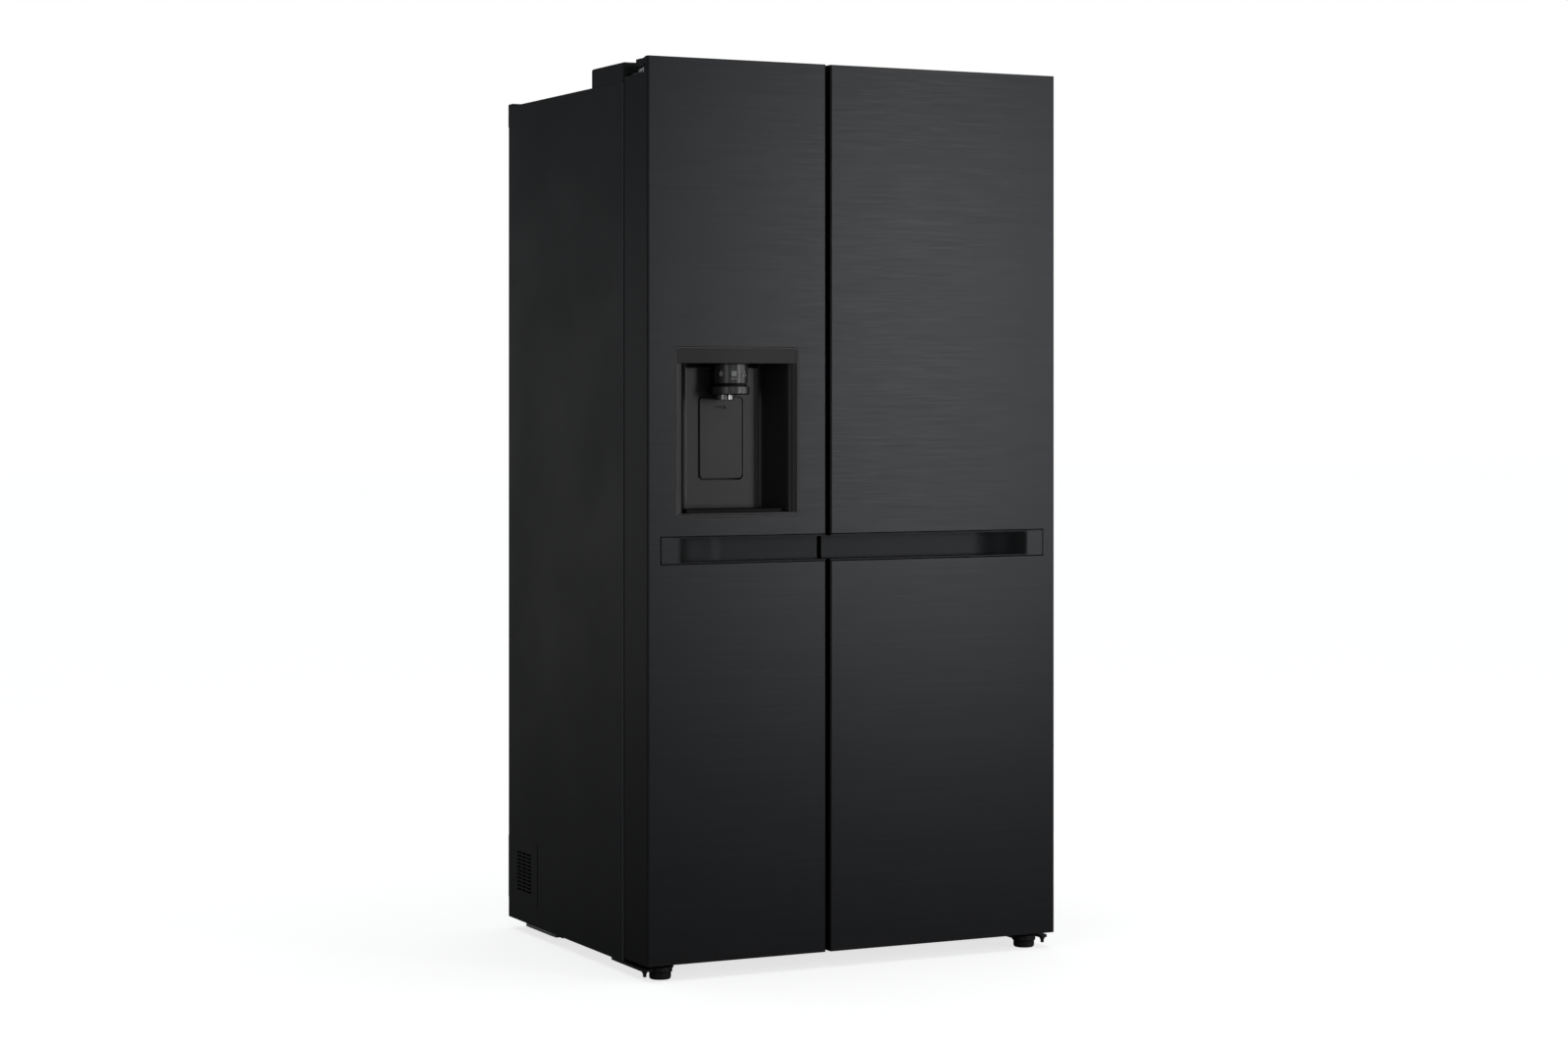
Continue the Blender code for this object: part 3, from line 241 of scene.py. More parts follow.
# dark plastic of the head, also for the near-black ring that paints a shadow under the band
HEAD_PLASTIC_AND_SHADOW = moulded(
    "head_plastic_and_shadow", (0.006, 0.006, 0.006), 0.55, specular=0.25
)
SILVER_PLASTIC = brushed(
    "silver_plastic", (0.46, 0.46, 0.45), 0.30, ALONG_Z, 0.9
)
DIAL_METAL = brushed(
    "dial_metal", (0.14, 0.14, 0.14), 0.36, ALONG_Z, 0.7, 0.35, 500.0
)
MARK_PAINT = moulded("mark_paint", (0.62, 0.62, 0.61), 0.5)
CHROME = brushed("chrome", (0.72, 0.72, 0.72), 0.14, ALONG_Z, 1.0)
LINER = moulded("liner_plastic", (0.76, 0.77, 0.77), 0.33, 500.0, 0.08)
LAMP = moulded("lamp_diffuser", (0.88, 0.89, 0.88), 0.55, 300.0, 0.3)
TRIM_GREY = moulded("trim_grey", (0.40, 0.41, 0.42), 0.35, 700.0)
CLEAR = clear("clear_plastic", (0.86, 0.92, 0.95), 0.10, 0.9)
GLASS = clear("shelf_glass", (0.84, 0.93, 0.90), 0.03, 0.95, 1.5)
RUBBER = moulded("gasket_rubber", (0.020, 0.020, 0.021), 0.7, 500.0)
GALVANISED = brushed(
    "galvanised", (0.36, 0.37, 0.38), 0.45, EVEN, 0.9, 0.14, 90.0
)
DARK_PLATE = moulded("dark_plate", (0.016, 0.016, 0.017), 0.42, 700.0, 0.2)
BARE_STEEL = brushed("bare_steel", (0.30, 0.30, 0.31), 0.34, ALONG_Y, 1.0)
COMPRESSOR_PAINT = moulded("compressor_paint", (0.010, 0.010, 0.011), 0.28)
COPPER = brushed("copper", (0.62, 0.27, 0.15), 0.32, ALONG_X, 1.0)
ALUMINIUM = brushed("aluminium", (0.66, 0.67, 0.68), 0.38, ALONG_Z, 1.0)
NYLON = moulded("nylon", (0.018, 0.018, 0.019), 0.5, 700.0, 0.25)
FOAM = moulded("insulating_foam", (0.68, 0.56, 0.31), 0.9, 200.0, 0.6)


# ---------------------------------------------------------------- shapes

PAST = 0.01  # how far a cutter runs past the face that it opens
SMOOTH_UP_TO = math.radians(38.0)  # faces that meet at more than this stay sharp
AXES = {"X": (1, 2, 0), "Y": (0, 2, 1), "Z": (0, 1, 2)}
TURN_TO_AXIS = {
    "X": Matrix.Rotation(math.radians(90.0), 4, "Y"),
    "Y": Matrix.Rotation(math.radians(-90.0), 4, "X"),
    "Z": Matrix.Identity(4),
}


def block(x, y, z):
    """A box from its spans along X, Y and Z."""
    size = [abs(pair[1] - pair[0]) for pair in (x, y, z)]
    centre = Vector([(pair[0] + pair[1]) / 2 for pair in (x, y, z)])
    place = Matrix.Translation(centre) @ Matrix.Diagonal((*size, 1.0))
    shape = bmesh.new()
    bmesh.ops.create_cube(shape, size=1.0, matrix=place)
    return shape


def blocks(spans):
    return merge(*[block(*each) for each in spans])


def mesh_of(name, shape):
    """A shape as a mesh; the shape is used up."""
    mesh = bpy.data.meshes.new(name)
    shape.to_mesh(mesh)
    shape.free()
    return mesh


def add_object(name, data):
    made = bpy.data.objects.new(name, data)
    bpy.context.scene.collection.objects.link(made)
    return made


def merge(first, *others):
    """Several closed shapes in one."""
    for other in others:
        mesh = mesh_of("merged", other)
        first.from_mesh(mesh)
        bpy.data.meshes.remove(mesh)
    return first


def rounded(points, steps=6):
    """An outline whose corners turn on the radius given as a point's third number."""
    outline = []
    for index, point in enumerate(points):
        here = Vector(point[:2])
        if len(point) < 3:
            outline.append(here)
            continue
        before = (Vector(points[index - 1][:2]) - here).normalized()
        after = (Vector(points[(index + 1) % len(points)][:2]) - here).normalized()
        half = before.angle(after) / 2
        centre = here + (before + after).normalized() * point[2] / math.sin(half)
        arm = here + before * point[2] / math.tan(half) - centre
        way = -1.0 if before.cross(after) > 0 else 1.0
        for step in range(steps + 1):
            angle = way * (math.pi - 2 * half) * step / steps
            outline.append(centre + Matrix.Rotation(angle, 2) @ arm)
    return outline


def rectangle(u, v, radius):
    """The outline of a rectangle with round corners."""
    corners = ((u[0], v[0]), (u[1], v[0]), (u[1], v[1]), (u[0], v[1]))
    return rounded([(*corner, radius) for corner in corners])


def prism(outline, axis, reach):
    """A flat outline drawn out along an axis."""
    first, second, third = AXES[axis]
    shape = bmesh.new()
    rings = []
    for level in reach:
        ring = []
        for point in outline:
            place = [0.0, 0.0, 0.0]
            place[first], place[second], place[third] = point[0], point[1], level
            ring.append(shape.verts.new(place))
        rings.append(ring)
    close_rings(shape, rings, False)
    return shape


def close_rings(shape, rings, loop):
    """Skin between rings of vertices; end caps unless the rings form a loop."""
    pairs = list(zip(rings, rings[1:]))
    if loop:
        pairs.append((rings[-1], rings[0]))
    else:
        shape.faces.new(rings[0])
        shape.faces.new(rings[-1])
    for low, high in pairs:
        for index in range(len(low)):
            after = (index + 1) % len(low)
            shape.faces.new((low[index], low[after], high[after], high[index]))
    bmesh.ops.recalc_face_normals(shape, faces=shape.faces)


def turned(profile, centre, axis="Z", steps=48, loop=False):
    """A profile of (radius, height) turned about an axis through a point."""
    shape = bmesh.new()
    angles = [math.tau * step / steps for step in range(steps)]
    rings = [
        [shape.verts.new((radius * math.cos(a), radius * math.sin(a), height)) for a in angles]
        for radius, height in profile
    ]
    close_rings(shape, rings, loop)
    shape.transform(Matrix.Translation(centre) @ TURN_TO_AXIS[axis])
    return shape


def rod(radius, centre, length, axis="Z", steps=32):
    """A cylinder about its centre."""
    return turned([(radius, -length / 2), (radius, length / 2)], centre, axis, steps)


def baked(holder):
    """The shape of an object with its modifiers applied; the object is removed."""
    graph = bpy.context.evaluated_depsgraph_get()
    mesh = bpy.data.meshes.new_from_object(holder.evaluated_get(graph))
    shape = bmesh.new()
    shape.from_mesh(mesh)
    bpy.data.meshes.remove(mesh)
    bpy.data.objects.remove(holder)
    return shape


def loose(shape):
    """A shape as an object, for modifiers to work on."""
    return add_object("loose", mesh_of("loose", shape))


def carve(shape, *cutters):
    """Cut closed shapes out of another one."""
    target = loose(shape)
    tools = [loose(cutter) for cutter in cutters]
    for tool in tools:
        modifier = target.modifiers.new("cut", "BOOLEAN")
        modifier.operation = "DIFFERENCE"
        modifier.solver = "EXACT"
        modifier.object = tool
    result = baked(target)
    for tool in tools:
        bpy.data.objects.remove(tool)
    return result


def anywhere(middle, direction):
    return True


def along(axis):
    """Chooses the edges that run along an axis."""
    number = "XYZ".index(axis)
    return lambda middle, direction: abs(direction[number]) > 0.9


def round_edges(shape, radius, chosen=anywhere, segments=3, sharp=30.0):
    """Round the sharp edges of a shape that a test of middle and direction chooses."""
    picked = []
    for edge in shape.edges:
        if len(edge.link_faces) != 2 or edge.calc_face_angle(0.0) < math.radians(sharp):
            continue
        start, end = (vertex.co for vertex in edge.verts)
        if chosen((start + end) / 2, (end - start).normalized()):
            picked.append(edge)
    bmesh.ops.bevel(
        shape,
        geom=picked,
        offset=radius,
        offset_type="OFFSET",
        segments=segments,
        profile=0.5,
        affect="EDGES",
        clamp_overlap=True,
    )
    return shape


def soft_block(x, y, z, radius, segments=3):
    """A box with all its edges rounded."""
    return round_edges(block(x, y, z), radius, segments=segments)


def piece(name, shape, body, material, replaces=(), edge=0.0004):
    """Make a shape an object with softened edges, and let it ride on a body."""
    if edge:
        round_edges(shape, edge, segments=2)
    mesh = mesh_of(name, shape)
    mesh.materials.append(material)
    mesh.shade_smooth()
    mesh.set_sharp_from_angle(angle=SMOOTH_UP_TO)
    made = add_object(name, mesh)
    normals = made.modifiers.new("normals", "WEIGHTED_NORMAL")
    normals.keep_sharp = True
    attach(made, body)
    if replaces:
        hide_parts(*replaces)
    return made


def welded(node):
    """A CAD node's mesh with its vertices joined and its flat faces whole."""
    shape = bmesh.new()
    shape.from_mesh(NODES[node].data)
    bmesh.ops.remove_doubles(shape, verts=shape.verts, dist=0.000002)
    bmesh.ops.dissolve_limit(
        shape, angle_limit=math.radians(1.0), verts=shape.verts, edges=shape.edges
    )
    return shape


def refined(node, material, edge=0.0005, rounds=()):
    """A CAD node with its edges rounded and a finer material."""
    shape = welded(node)
    for radius, segments, chosen in rounds:
        round_edges(shape, radius, chosen, segments)
    return piece(f"{node}_finish", shape, BODY_OF[node], material, [node], edge)


def add_shell(node, front_drop=0.0):
    """A clear open box with rounded upright corners, in place of a basket or a drawer."""
    x, y, z = span(node)
    box = round_edges(block(x, y, z), 0.006, along("Z"), 4)
    inner_z = (z[0] + SHELL_WALL, z[1] + PAST)
    well = block(grow(x, -SHELL_WALL), grow(y, -SHELL_WALL), inner_z)
    cuts = [round_edges(well, 0.004, along("Z"), 4)]
    if front_drop:
        front_y = (y[0] - PAST, y[0] + SHELL_WALL + 0.001)
        cuts.append(block(grow(x, PAST), front_y, (z[1] - front_drop, z[1] + PAST)))
    piece(f"{node}_shell", carve(box, *cuts), BODY_OF[node], CLEAR, [node], 0.0008)


# ---------------------------------------------------------------- sizes

FREEZER_X, PANEL_Y, PANEL_Z = span("freezer_door_panel")
FRIDGE_X = span("fridge_door_panel")[0]
FRONT_Y, DOOR_BACK_Y = PANEL_Y
HALF_WIDTH = FRIDGE_X[1]
CASE_X, CASE_Y, CASE_Z = span("outer_case")
SHEET = 0.0012  # the thickness of a door's steel skin
GAP = 0.0003  # clearance around a fitted part
SUNK = 0.0004  # how far a small part sinks into the wall that carries it
SEAM = 0.0018  # the dark line around a part set into a door
FOLD_RADIUS = 0.004  # of the skin's front corners
FACE_Y = FRONT_Y + 0.012  # the zone right behind a door's front ends here
NOTCH_DEPTH = 0.056  # from the door's front to the hinge notch
NOTCH_Z = 1.758
NOTCH_LENGTH = 0.125
CAP_STEP = 0.003  # the drop of the door's top over the notch
HINGE_X = HALF_WIDTH - 0.020
HINGE_Y = FRONT_Y + 0.074
SMALL_SCREW_Y = FRONT_Y + 0.034

LIP_X = 0.3877  # where the hand grip's flush outer part ends
FLUSH_LENGTH = 0.03
PALM_X = 0.3380  # where the grip's curve reaches its full depth
LIP_RADIUS = 0.0118
PALM_RADIUS = 0.1650
HANDLE_WALL = 0.0025

LINER_WALL = 0.014  # the thickness of the raised wall around the baskets
BASKET_PAD_Z = (0.56, 0.80, 1.04, 1.28, 1.52)
SHELL_WALL = 0.003  # of the baskets and drawers
DRAWER_DROP = 0.030  # how far a drawer's front stays below its sides


# ---------------------------------------------------------------- doors


def front_upright(middle, direction):
    return abs(direction.z) > 0.9 and middle.y < FACE_Y


def hinge_notch(side, clearance=0.0):
    return block(
        on_side(side, HALF_WIDTH - NOTCH_LENGTH - clearance, HALF_WIDTH + PAST),
        (FRONT_Y + NOTCH_DEPTH - clearance, DOOR_BACK_Y + PAST),
        (NOTCH_Z - clearance, PANEL_Z[1] + PAST),
    )


def notch_undercut(side):
    """The notch runs on forward below the door's top cap, and the cap steps down over it."""
    reach = on_side(side, HALF_WIDTH - 0.015, HALF_WIDTH + PAST)
    below = block(reach, (FACE_Y, DOOR_BACK_Y + PAST), (NOTCH_Z + 0.002, NOTCH_Z + 0.018))
    top = PANEL_Z[1]
    step = prism(
        [
            (FRONT_Y + 0.010, top + PAST),
            (FRONT_Y + 0.010, top),
            (FRONT_Y + 0.021, top - CAP_STEP),
            (DOOR_BACK_Y + PAST, top - CAP_STEP),
            (DOOR_BACK_Y + PAST, top + PAST),
        ],
        "X",
        on_side(side, HALF_WIDTH - 0.020, HALF_WIDTH + PAST),
    )
    return below, step


def add_door_panel(side, label, x, holes):
    """The folded steel skin, with the seams around what is set into it; its side faces take a
    darker copy of the steel as painted shade.
    """
    skin = round_edges(block(x, PANEL_Y, PANEL_Z), FOLD_RADIUS, front_upright, 6)
    hollow = block(grow(x, -SHEET), (FRONT_Y + SHEET, DOOR_BACK_Y + PAST), grow(PANEL_Z, PAST))
    round_edges(hollow, FOLD_RADIUS - SHEET, front_upright, 6)
    handle_x, handle_y, handle_z = span(f"{label}_handle")
    slot_start = side * (abs(outer_end(side, handle_x)) + SEAM)
    slot_x = tuple(sorted((slot_start, inner_end(side, x) - side * PAST)))
    slot = block(slot_x, (FRONT_Y - PAST, handle_y[1] + SEAM), grow(handle_z, SEAM))
    shape = carve(skin, hollow, hinge_notch(side), slot, *notch_undercut(side), *holes)
    replaced = [f"{label}_door_panel"]
    sheet = piece(f"{label}_door_skin", shape, f"{label}_door", DOOR_STEEL, replaced, 0.0005)
    # Faces that look along X get the darker copy: painted shade on the door's sides.
    sheet.data.materials.append(DOOR_SIDE_SHADE)
    for face in sheet.data.polygons:
        if abs(face.normal.x) > 0.95:
            face.material_index = 1


def add_handle(side, label):
    """The grip: flush at its outer end, then round over a lip into a curved pocket."""
    x, y, z = span(f"{label}_handle")
    inner = inner_end(side, x) - side * PAST
    flush_x = side * (LIP_X + FLUSH_LENGTH)
    back = y[1] - HANDLE_WALL
    skim = FRONT_Y - 0.00005
    outline = rounded(
        [
            (inner, FRONT_Y - PAST),
            (flush_x, FRONT_Y - PAST),
            (flush_x, skim),
            (side * LIP_X, skim, LIP_RADIUS),
            (side * PALM_X, back, PALM_RADIUS),
            (inner, back),
        ],
        steps=16,
    )
    pocket = prism(outline, "Z", grow(z, -HANDLE_WALL))
    shape = carve(block(x, y, z), pocket)
    body = f"{label}_door"
    piece(f"{label}_grip", shape, body, HANDLE_PLASTIC, [f"{label}_handle"], 0.0005)
    plate_x = on_side(side, LIP_X + 0.0046, abs(outer_end(side, x)))
    plate = block(plate_x, (FRONT_Y - 0.0001, FRONT_Y + 0.0006), grow(z, -0.0001))
    piece(f"{label}_grip_plate", plate, body, DOOR_STEEL, edge=0.0002)


def add_door_ends(side, label, x):
    """The dark core and its top, with a pressed border, a small screw and the hinge bush."""
    body = f"{label}_door"
    undercut = notch_undercut(side)
    inset = grow(x, -0.012)
    depth = (FACE_Y, FRONT_Y + NOTCH_DEPTH - 0.008)
    rib_z = (PANEL_Z[1] - 0.0016, PANEL_Z[1] - 0.0006)
    outer = prism(rectangle(inset, depth, 0.006), "Z", rib_z)
    hole = rectangle(grow(inset, -0.002), grow(depth, -0.002), 0.004)
    inner = prism(hole, "Z", grow(rib_z, PAST))
    rib = carve(outer, inner, hinge_notch(side), *undercut)
    piece(f"{label}_top_rib", rib, body, CAP_PLASTIC, edge=0.0002)
    handle_x, _, handle_z = span(f"{label}_handle")
    cuts = [block(grow(handle_x, SEAM), (FRONT_Y - PAST, FACE_Y), grow(handle_z, SEAM))]
    if side < 0:
        cuts.append(dispenser_hole(0.0012, FACE_Y))
    core = carve(welded(f"{label}_door_core"), *cuts, *notch_undercut(side))
    screw = turned(
        [
            (0.0012, -0.0055),
            (0.0030, -0.0050),
            (0.0030, 0.0010),
            (0.0045, 0.0014),
            (0.0045, 0.0040),
            (0.0030, 0.0052),
        ],
        (side * (HALF_WIDTH - 0.0075), SMALL_SCREW_Y, NOTCH_Z + 0.0072),
    )
    piece(f"{label}_cap_screw", screw, body, CHROME, edge=0)
    piece(f"{label}_core_finish", core, body, CAP_PLASTIC, [f"{label}_door_core"], 0.0006)
    bush = turned(
        [(0.0058, 0.0), (0.0095, 0.0), (0.0100, 0.0006), (0.0100, 0.0016), (0.0058, 0.0022)],
        (side * HINGE_X, HINGE_Y, NOTCH_Z - 0.0010),
        loop=True,
    )
    piece(f"{label}_hinge_bush", bush, body, NYLON, edge=0)


def add_inner_door(label, x, chute):
    """The moulded inner face and the raised wall around the baskets, with its pads."""
    body = f"{label}_door"
    face_y = (DOOR_BACK_Y - 0.0002, DOOR_BACK_Y + 0.0012)
    face = block(grow(x, -0.0030), face_y, (0.040, NOTCH_Z - 0.004))
    round_edges(face, 0.006, along("Y"), 4)
    wall_x, wall_y, wall_z = span(f"{label}_door_liner")
    border_y = (DOOR_BACK_Y + 0.001, DOOR_BACK_Y + 0.0032)
    border = carve(
        block(grow(wall_x, 0.010), border_y, grow(wall_z, 0.008)),
        block(grow(wall_x, 0.001), (DOOR_BACK_Y, DOOR_BACK_Y + 0.02), grow(wall_z, 0.001)),
    )
    piece(f"{label}_inner_face", carve(face, *chute), body, LINER, edge=0.0006)
    piece(f"{label}_inner_border", border, body, LINER, edge=0.0006)
    wall = prism(rectangle(wall_x, wall_z, 0.020), "Y", (DOOR_BACK_Y + 0.0006, wall_y[1]))
    opening = rectangle(grow(wall_x, -LINER_WALL), grow(wall_z, -LINER_WALL), 0.012)
    well = prism(opening, "Y", grow(wall_y, PAST))
    shape = round_edges(carve(wall, well), 0.005, lambda m, d: m.y > wall_y[1] - 0.002, 4)
    piece(f"{label}_raised_wall", shape, body, LINER, [f"{label}_door_liner"], edge=0)
    pad_y = (DOOR_BACK_Y + 0.006, DOOR_BACK_Y + 0.040)
    pads = []
    for z in BASKET_PAD_Z:
        for inner, way in ((wall_x[0] + LINER_WALL, 1), (wall_x[1] - LINER_WALL, -1)):
            pads.append(soft_block(off_wall(inner, way, 0.004), pad_y, about(z, 0.007), 0.0016))
    piece(f"{label}_basket_pads", merge(*pads), body, LINER, edge=0)


def add_baskets(label):
    """The clear door baskets, each with a trim along its front edge."""
    for number in (1, 2):
        add_shell(f"{label}_basket_{number}")
        x, y, z = span(f"{label}_basket_{number}")
        rim_y = (y[1] - 0.0045, y[1] + 0.0012)
        rim = soft_block(grow(x, -0.0005), rim_y, (z[1] - 0.014, z[1] + 0.0012), 0.0016)
        piece(f"{label}_basket_{number}_rim", rim, f"{label}_door", TRIM_GREY, edge=0)


# ---------------------------------------------------------------- dispenser

FRAME_X, FRAME_Y, FRAME_Z = span("dispenser_frame")
HOUSING_Y = span("dispenser_housing")[1]
DIAL_SPAN = span("dispenser_dial")
DIAL_X = sum(DIAL_SPAN[0]) / 2
DIAL_Y = sum(DIAL_SPAN[1]) / 2
DIAL_RADIUS = (DIAL_SPAN[0][1] - DIAL_SPAN[0][0]) / 2
HEAD_Z = (1.1355, 1.1520)
HEAD_RADIUS = 0.0365
HEAD_BORE = 0.0190
DRUM_Z = (1.1575, 1.1962)
DRUM_RADIUS = 0.0328
FRAME_CORNER = 0.006
RECESS_TOP_Z = 1.197
RECESS_FLOOR_Z = 0.905
RECESS_BACK_Y = FRONT_Y + 0.0785
RECESS_TAPER = 0.0475  # from the frame to the back panel, on each side
RECESS_ROUND = 0.018  # of the walls' curve into the back panel
POCKET_BACK_Y = FRONT_Y + 0.0995  # of the pocket behind the paddle
CHUTE_Z = (FRAME_Z[1], 1.310)
PADDLE_X, PADDLE_Y, PADDLE_Z = span("dispenser_paddle")


def dispenser_hole(clearance, back):
    radius = FRAME_CORNER + clearance
    outline = rectangle(grow(FRAME_X, clearance), grow(FRAME_Z, clearance), radius)
    return prism(outline, "Y", (FRONT_Y - PAST, back))


def add_dispenser_frame():
    """The thin frame with the flush band above the recess, and a fine groove around the band."""
    border = 0.0030
    groove = 0.0007
    low_z = FRAME_Z[0] + 0.0036
    plate = prism(rectangle(FRAME_X, FRAME_Z, FRAME_CORNER), "Y", FRAME_Y)
    band_x = grow(FRAME_X, -border)
    hole = block(band_x, grow(FRAME_Y, PAST), (low_z, RECESS_TOP_Z))
    round_edges(hole, 0.003, lambda m, d: abs(d.y) > 0.9 and m.z < low_z + 0.01, 4)
    top = FRAME_Z[1] - border
    depth = (FRONT_Y - PAST, FRONT_Y + 0.0009)
    grooves = [
        block(band_x, depth, (top - groove, top)),
        block((band_x[0], band_x[0] + groove), depth, (RECESS_TOP_Z - PAST, top)),
        block((band_x[1] - groove, band_x[1]), depth, (RECESS_TOP_Z - PAST, top)),
    ]
    shape = carve(plate, hole, *grooves)
    round_edges(
        shape, 0.0014, lambda m, d: abs(d.x) > 0.9 and abs(m.z - RECESS_TOP_Z) < 0.001, 3
    )
    piece("dispenser_surround", shape, FREEZER, BAND_PLASTIC, ["dispenser_frame"], 0.0003)
    reach = (FRONT_Y - 0.00005, FRONT_Y + 0.003)
    outer = rectangle(grow(FRAME_X, 0.0002), grow(FRAME_Z, 0.0002), FRAME_CORNER)
    inner = rectangle(grow(FRAME_X, -0.0015), grow(FRAME_Z, -0.0015), 0.005)
    line = carve(prism(outer, "Y", reach), prism(inner, "Y", grow(reach, PAST)))
    piece("dispenser_outline", line, FREEZER, EDGE_PLASTIC_AND_HIGHLIGHT, edge=0.0002)


def add_dispenser_housing():
    """The recess: tapered walls that run into the back panel on a fillet, with light strips under
    its top that paint a highlight.
    """
    shell = block(grow(FRAME_X, -GAP), HOUSING_Y, grow(FRAME_Z, -GAP))
    front = FRONT_Y + 0.0010
    wide = grow(FRAME_X, -0.0034)
    flare = grow(wide, -0.0120)
    narrow = grow(FRAME_X, -RECESS_TAPER)
    plan = rounded(
        [
            (wide[0], front - PAST),
            (wide[1], front - PAST),
            (wide[1], front + 0.0004),
            (flare[1], front + 0.0004, RECESS_ROUND),
            (narrow[1], RECESS_BACK_Y, RECESS_ROUND),
            (narrow[0], RECESS_BACK_Y, RECESS_ROUND),
            (flare[0], front + 0.0004, RECESS_ROUND),
            (wide[0], front + 0.0004),
        ],
        steps=8,
    )
    recess = prism(plan, "Z", (RECESS_FLOOR_Z, RECESS_TOP_Z + 0.003))
    pocket_z = (PADDLE_Z[0] - 0.0026, PADDLE_Z[1] + 0.0010)
    pocket_outline = rectangle(grow(PADDLE_X, 0.0024), pocket_z, 0.009)
    pocket = prism(pocket_outline, "Y", (RECESS_BACK_Y - PAST, POCKET_BACK_Y))
    ledge_z = RECESS_TOP_Z - 0.0082
    above_y = (RECESS_BACK_Y - 0.002, POCKET_BACK_Y)
    above = block(grow(narrow, -0.004), above_y, (ledge_z, RECESS_TOP_Z + 0.003))
    throat = rod(HEAD_BORE, (DIAL_X, DIAL_Y, 1.22), 0.06)
    lip_z = (RECESS_FLOOR_Z - 0.003, RECESS_TOP_Z - 0.0002)
    lip = block(grow(FRAME_X, -0.0031), (front, HOUSING_Y[0]), lip_z)
    lip = carve(lip, prism(plan, "Z", (RECESS_FLOOR_Z - 0.0004, RECESS_TOP_Z + PAST)))
    piece("recess_lip", lip, FREEZER, DISPENSER_PLASTIC, edge=0.0003)
    shape = carve(shell, recess, pocket, above, throat)
    piece("dispenser_recess", shape, FREEZER, DISPENSER_PLASTIC, ["dispenser_housing"], 0.0006)
    # Light strips along the ledge under the recess's top: a painted highlight where the back
    # panel's top edge catches the light.
    strip_y = (RECESS_BACK_Y - 0.0010, RECESS_BACK_Y + 0.0012)
    strip_z = (ledge_z - 0.0018, ledge_z + 0.0004)
    strips = [
        soft_block((narrow[0] + 0.006, DIAL_X - 0.030), strip_y, strip_z, 0.0008),
        soft_block((DIAL_X + 0.032, narrow[1] - 0.006), strip_y, strip_z, 0.0008),
    ]
    piece("recess_highlight_strips", merge(*strips), FREEZER, EDGE_PLASTIC_AND_HIGHLIGHT, edge=0)


def add_drip_tray():
    """The slotted tray, which narrows with the recess."""
    x, y, z = span("drip_tray")
    corner = 0.003
    wide = grow(x, 0.004)
    narrow = grow(x, -0.0170)
    outline = rounded(
        [
            (wide[0], y[0], corner),
            (wide[1], y[0], corner),
            (narrow[1], y[1], corner),
            (narrow[0], y[1], corner),
        ],
        steps=4,
    )
    first_slot, pitch = sum(x) / 2 - 0.0735, 0.021
    slot_y = grow(y, -0.012)
    slot_z = (z[0] + 0.0015, z[1] + PAST)
    slots = [(about(first_slot + pitch * number, 0.0035), slot_y, slot_z) for number in range(8)]
    plate = carve(prism(outline, "Z", z), blocks(slots))
    piece("tray_plate", plate, FREEZER, HEAD_PLASTIC_AND_SHADOW, ["drip_tray"])


def square_ring(inner, outer, low, high, steps=48):
    """A ring with a rectangular section about the dial's axis."""
    profile = [(inner, low), (outer, low), (outer, high), (inner, high)]
    return turned(profile, (DIAL_X, DIAL_Y, 0.0), steps=steps, loop=True)


def add_dispenser_head():
    """The fixed ring under the dial, the arm behind it, and the mouth of the chute."""
    low, high = HEAD_Z
    profile = [
        (HEAD_BORE, low),
        (HEAD_RADIUS - 0.0030, low),
        (HEAD_RADIUS - 0.0006, low + 0.0016),
        (HEAD_RADIUS, low + 0.0040),
        (HEAD_RADIUS, high - 0.0010),
        (HEAD_RADIUS - 0.0010, high),
        (HEAD_BORE, high),
    ]
    ring = turned(profile, (DIAL_X, DIAL_Y, 0.0), steps=64, loop=True)
    piece("head_ring", ring, FREEZER, DIAL_METAL, edge=0)
    neck = square_ring(HEAD_BORE, DRUM_RADIUS - 0.002, high - 0.001, DRUM_Z[0] - 0.0006)
    arm_x = (DIAL_X - 0.034, DIAL_X + 0.030)
    arm_y = (DIAL_Y + 0.022, RECESS_BACK_Y + 0.001)
    post_y = (DIAL_Y + DIAL_RADIUS + 0.001, POCKET_BACK_Y - 0.002)
    bottom = low + 0.0008
    arm = soft_block(arm_x, arm_y, (bottom, high - 0.0006), 0.0025)
    post = soft_block(arm_x, post_y, (bottom, RECESS_TOP_Z + 0.002), 0.0025)
    head = merge(neck, arm, post)
    piece("head_arm", head, FREEZER, HEAD_PLASTIC_AND_SHADOW, ["dispenser_head"], edge=0)
    chute = square_ring(0.0155, 0.0180, 1.1350, 1.2350)
    piece("chute_tube", chute, FREEZER, HEAD_PLASTIC_AND_SHADOW, ["ice_chute"], edge=0.0002)
    mouth_x = DIAL_X - 0.0125
    mouth = turned(
        [
            (0.0152, 1.1262),
            (0.0168, 1.1254),
            (0.0178, 1.1262),
            (0.0178, 1.1362),
            (0.0152, 1.1362),
        ],
        (mouth_x, DIAL_Y + 0.001, 0.0),
        loop=True,
    )
    slit = block(about(mouth_x - 0.0035, 0.0016), (DIAL_Y - 0.03, DIAL_Y), (1.120, 1.1352))
    piece("chute_mouth", carve(mouth, slit), FREEZER, SILVER_PLASTIC, edge=0.0002)


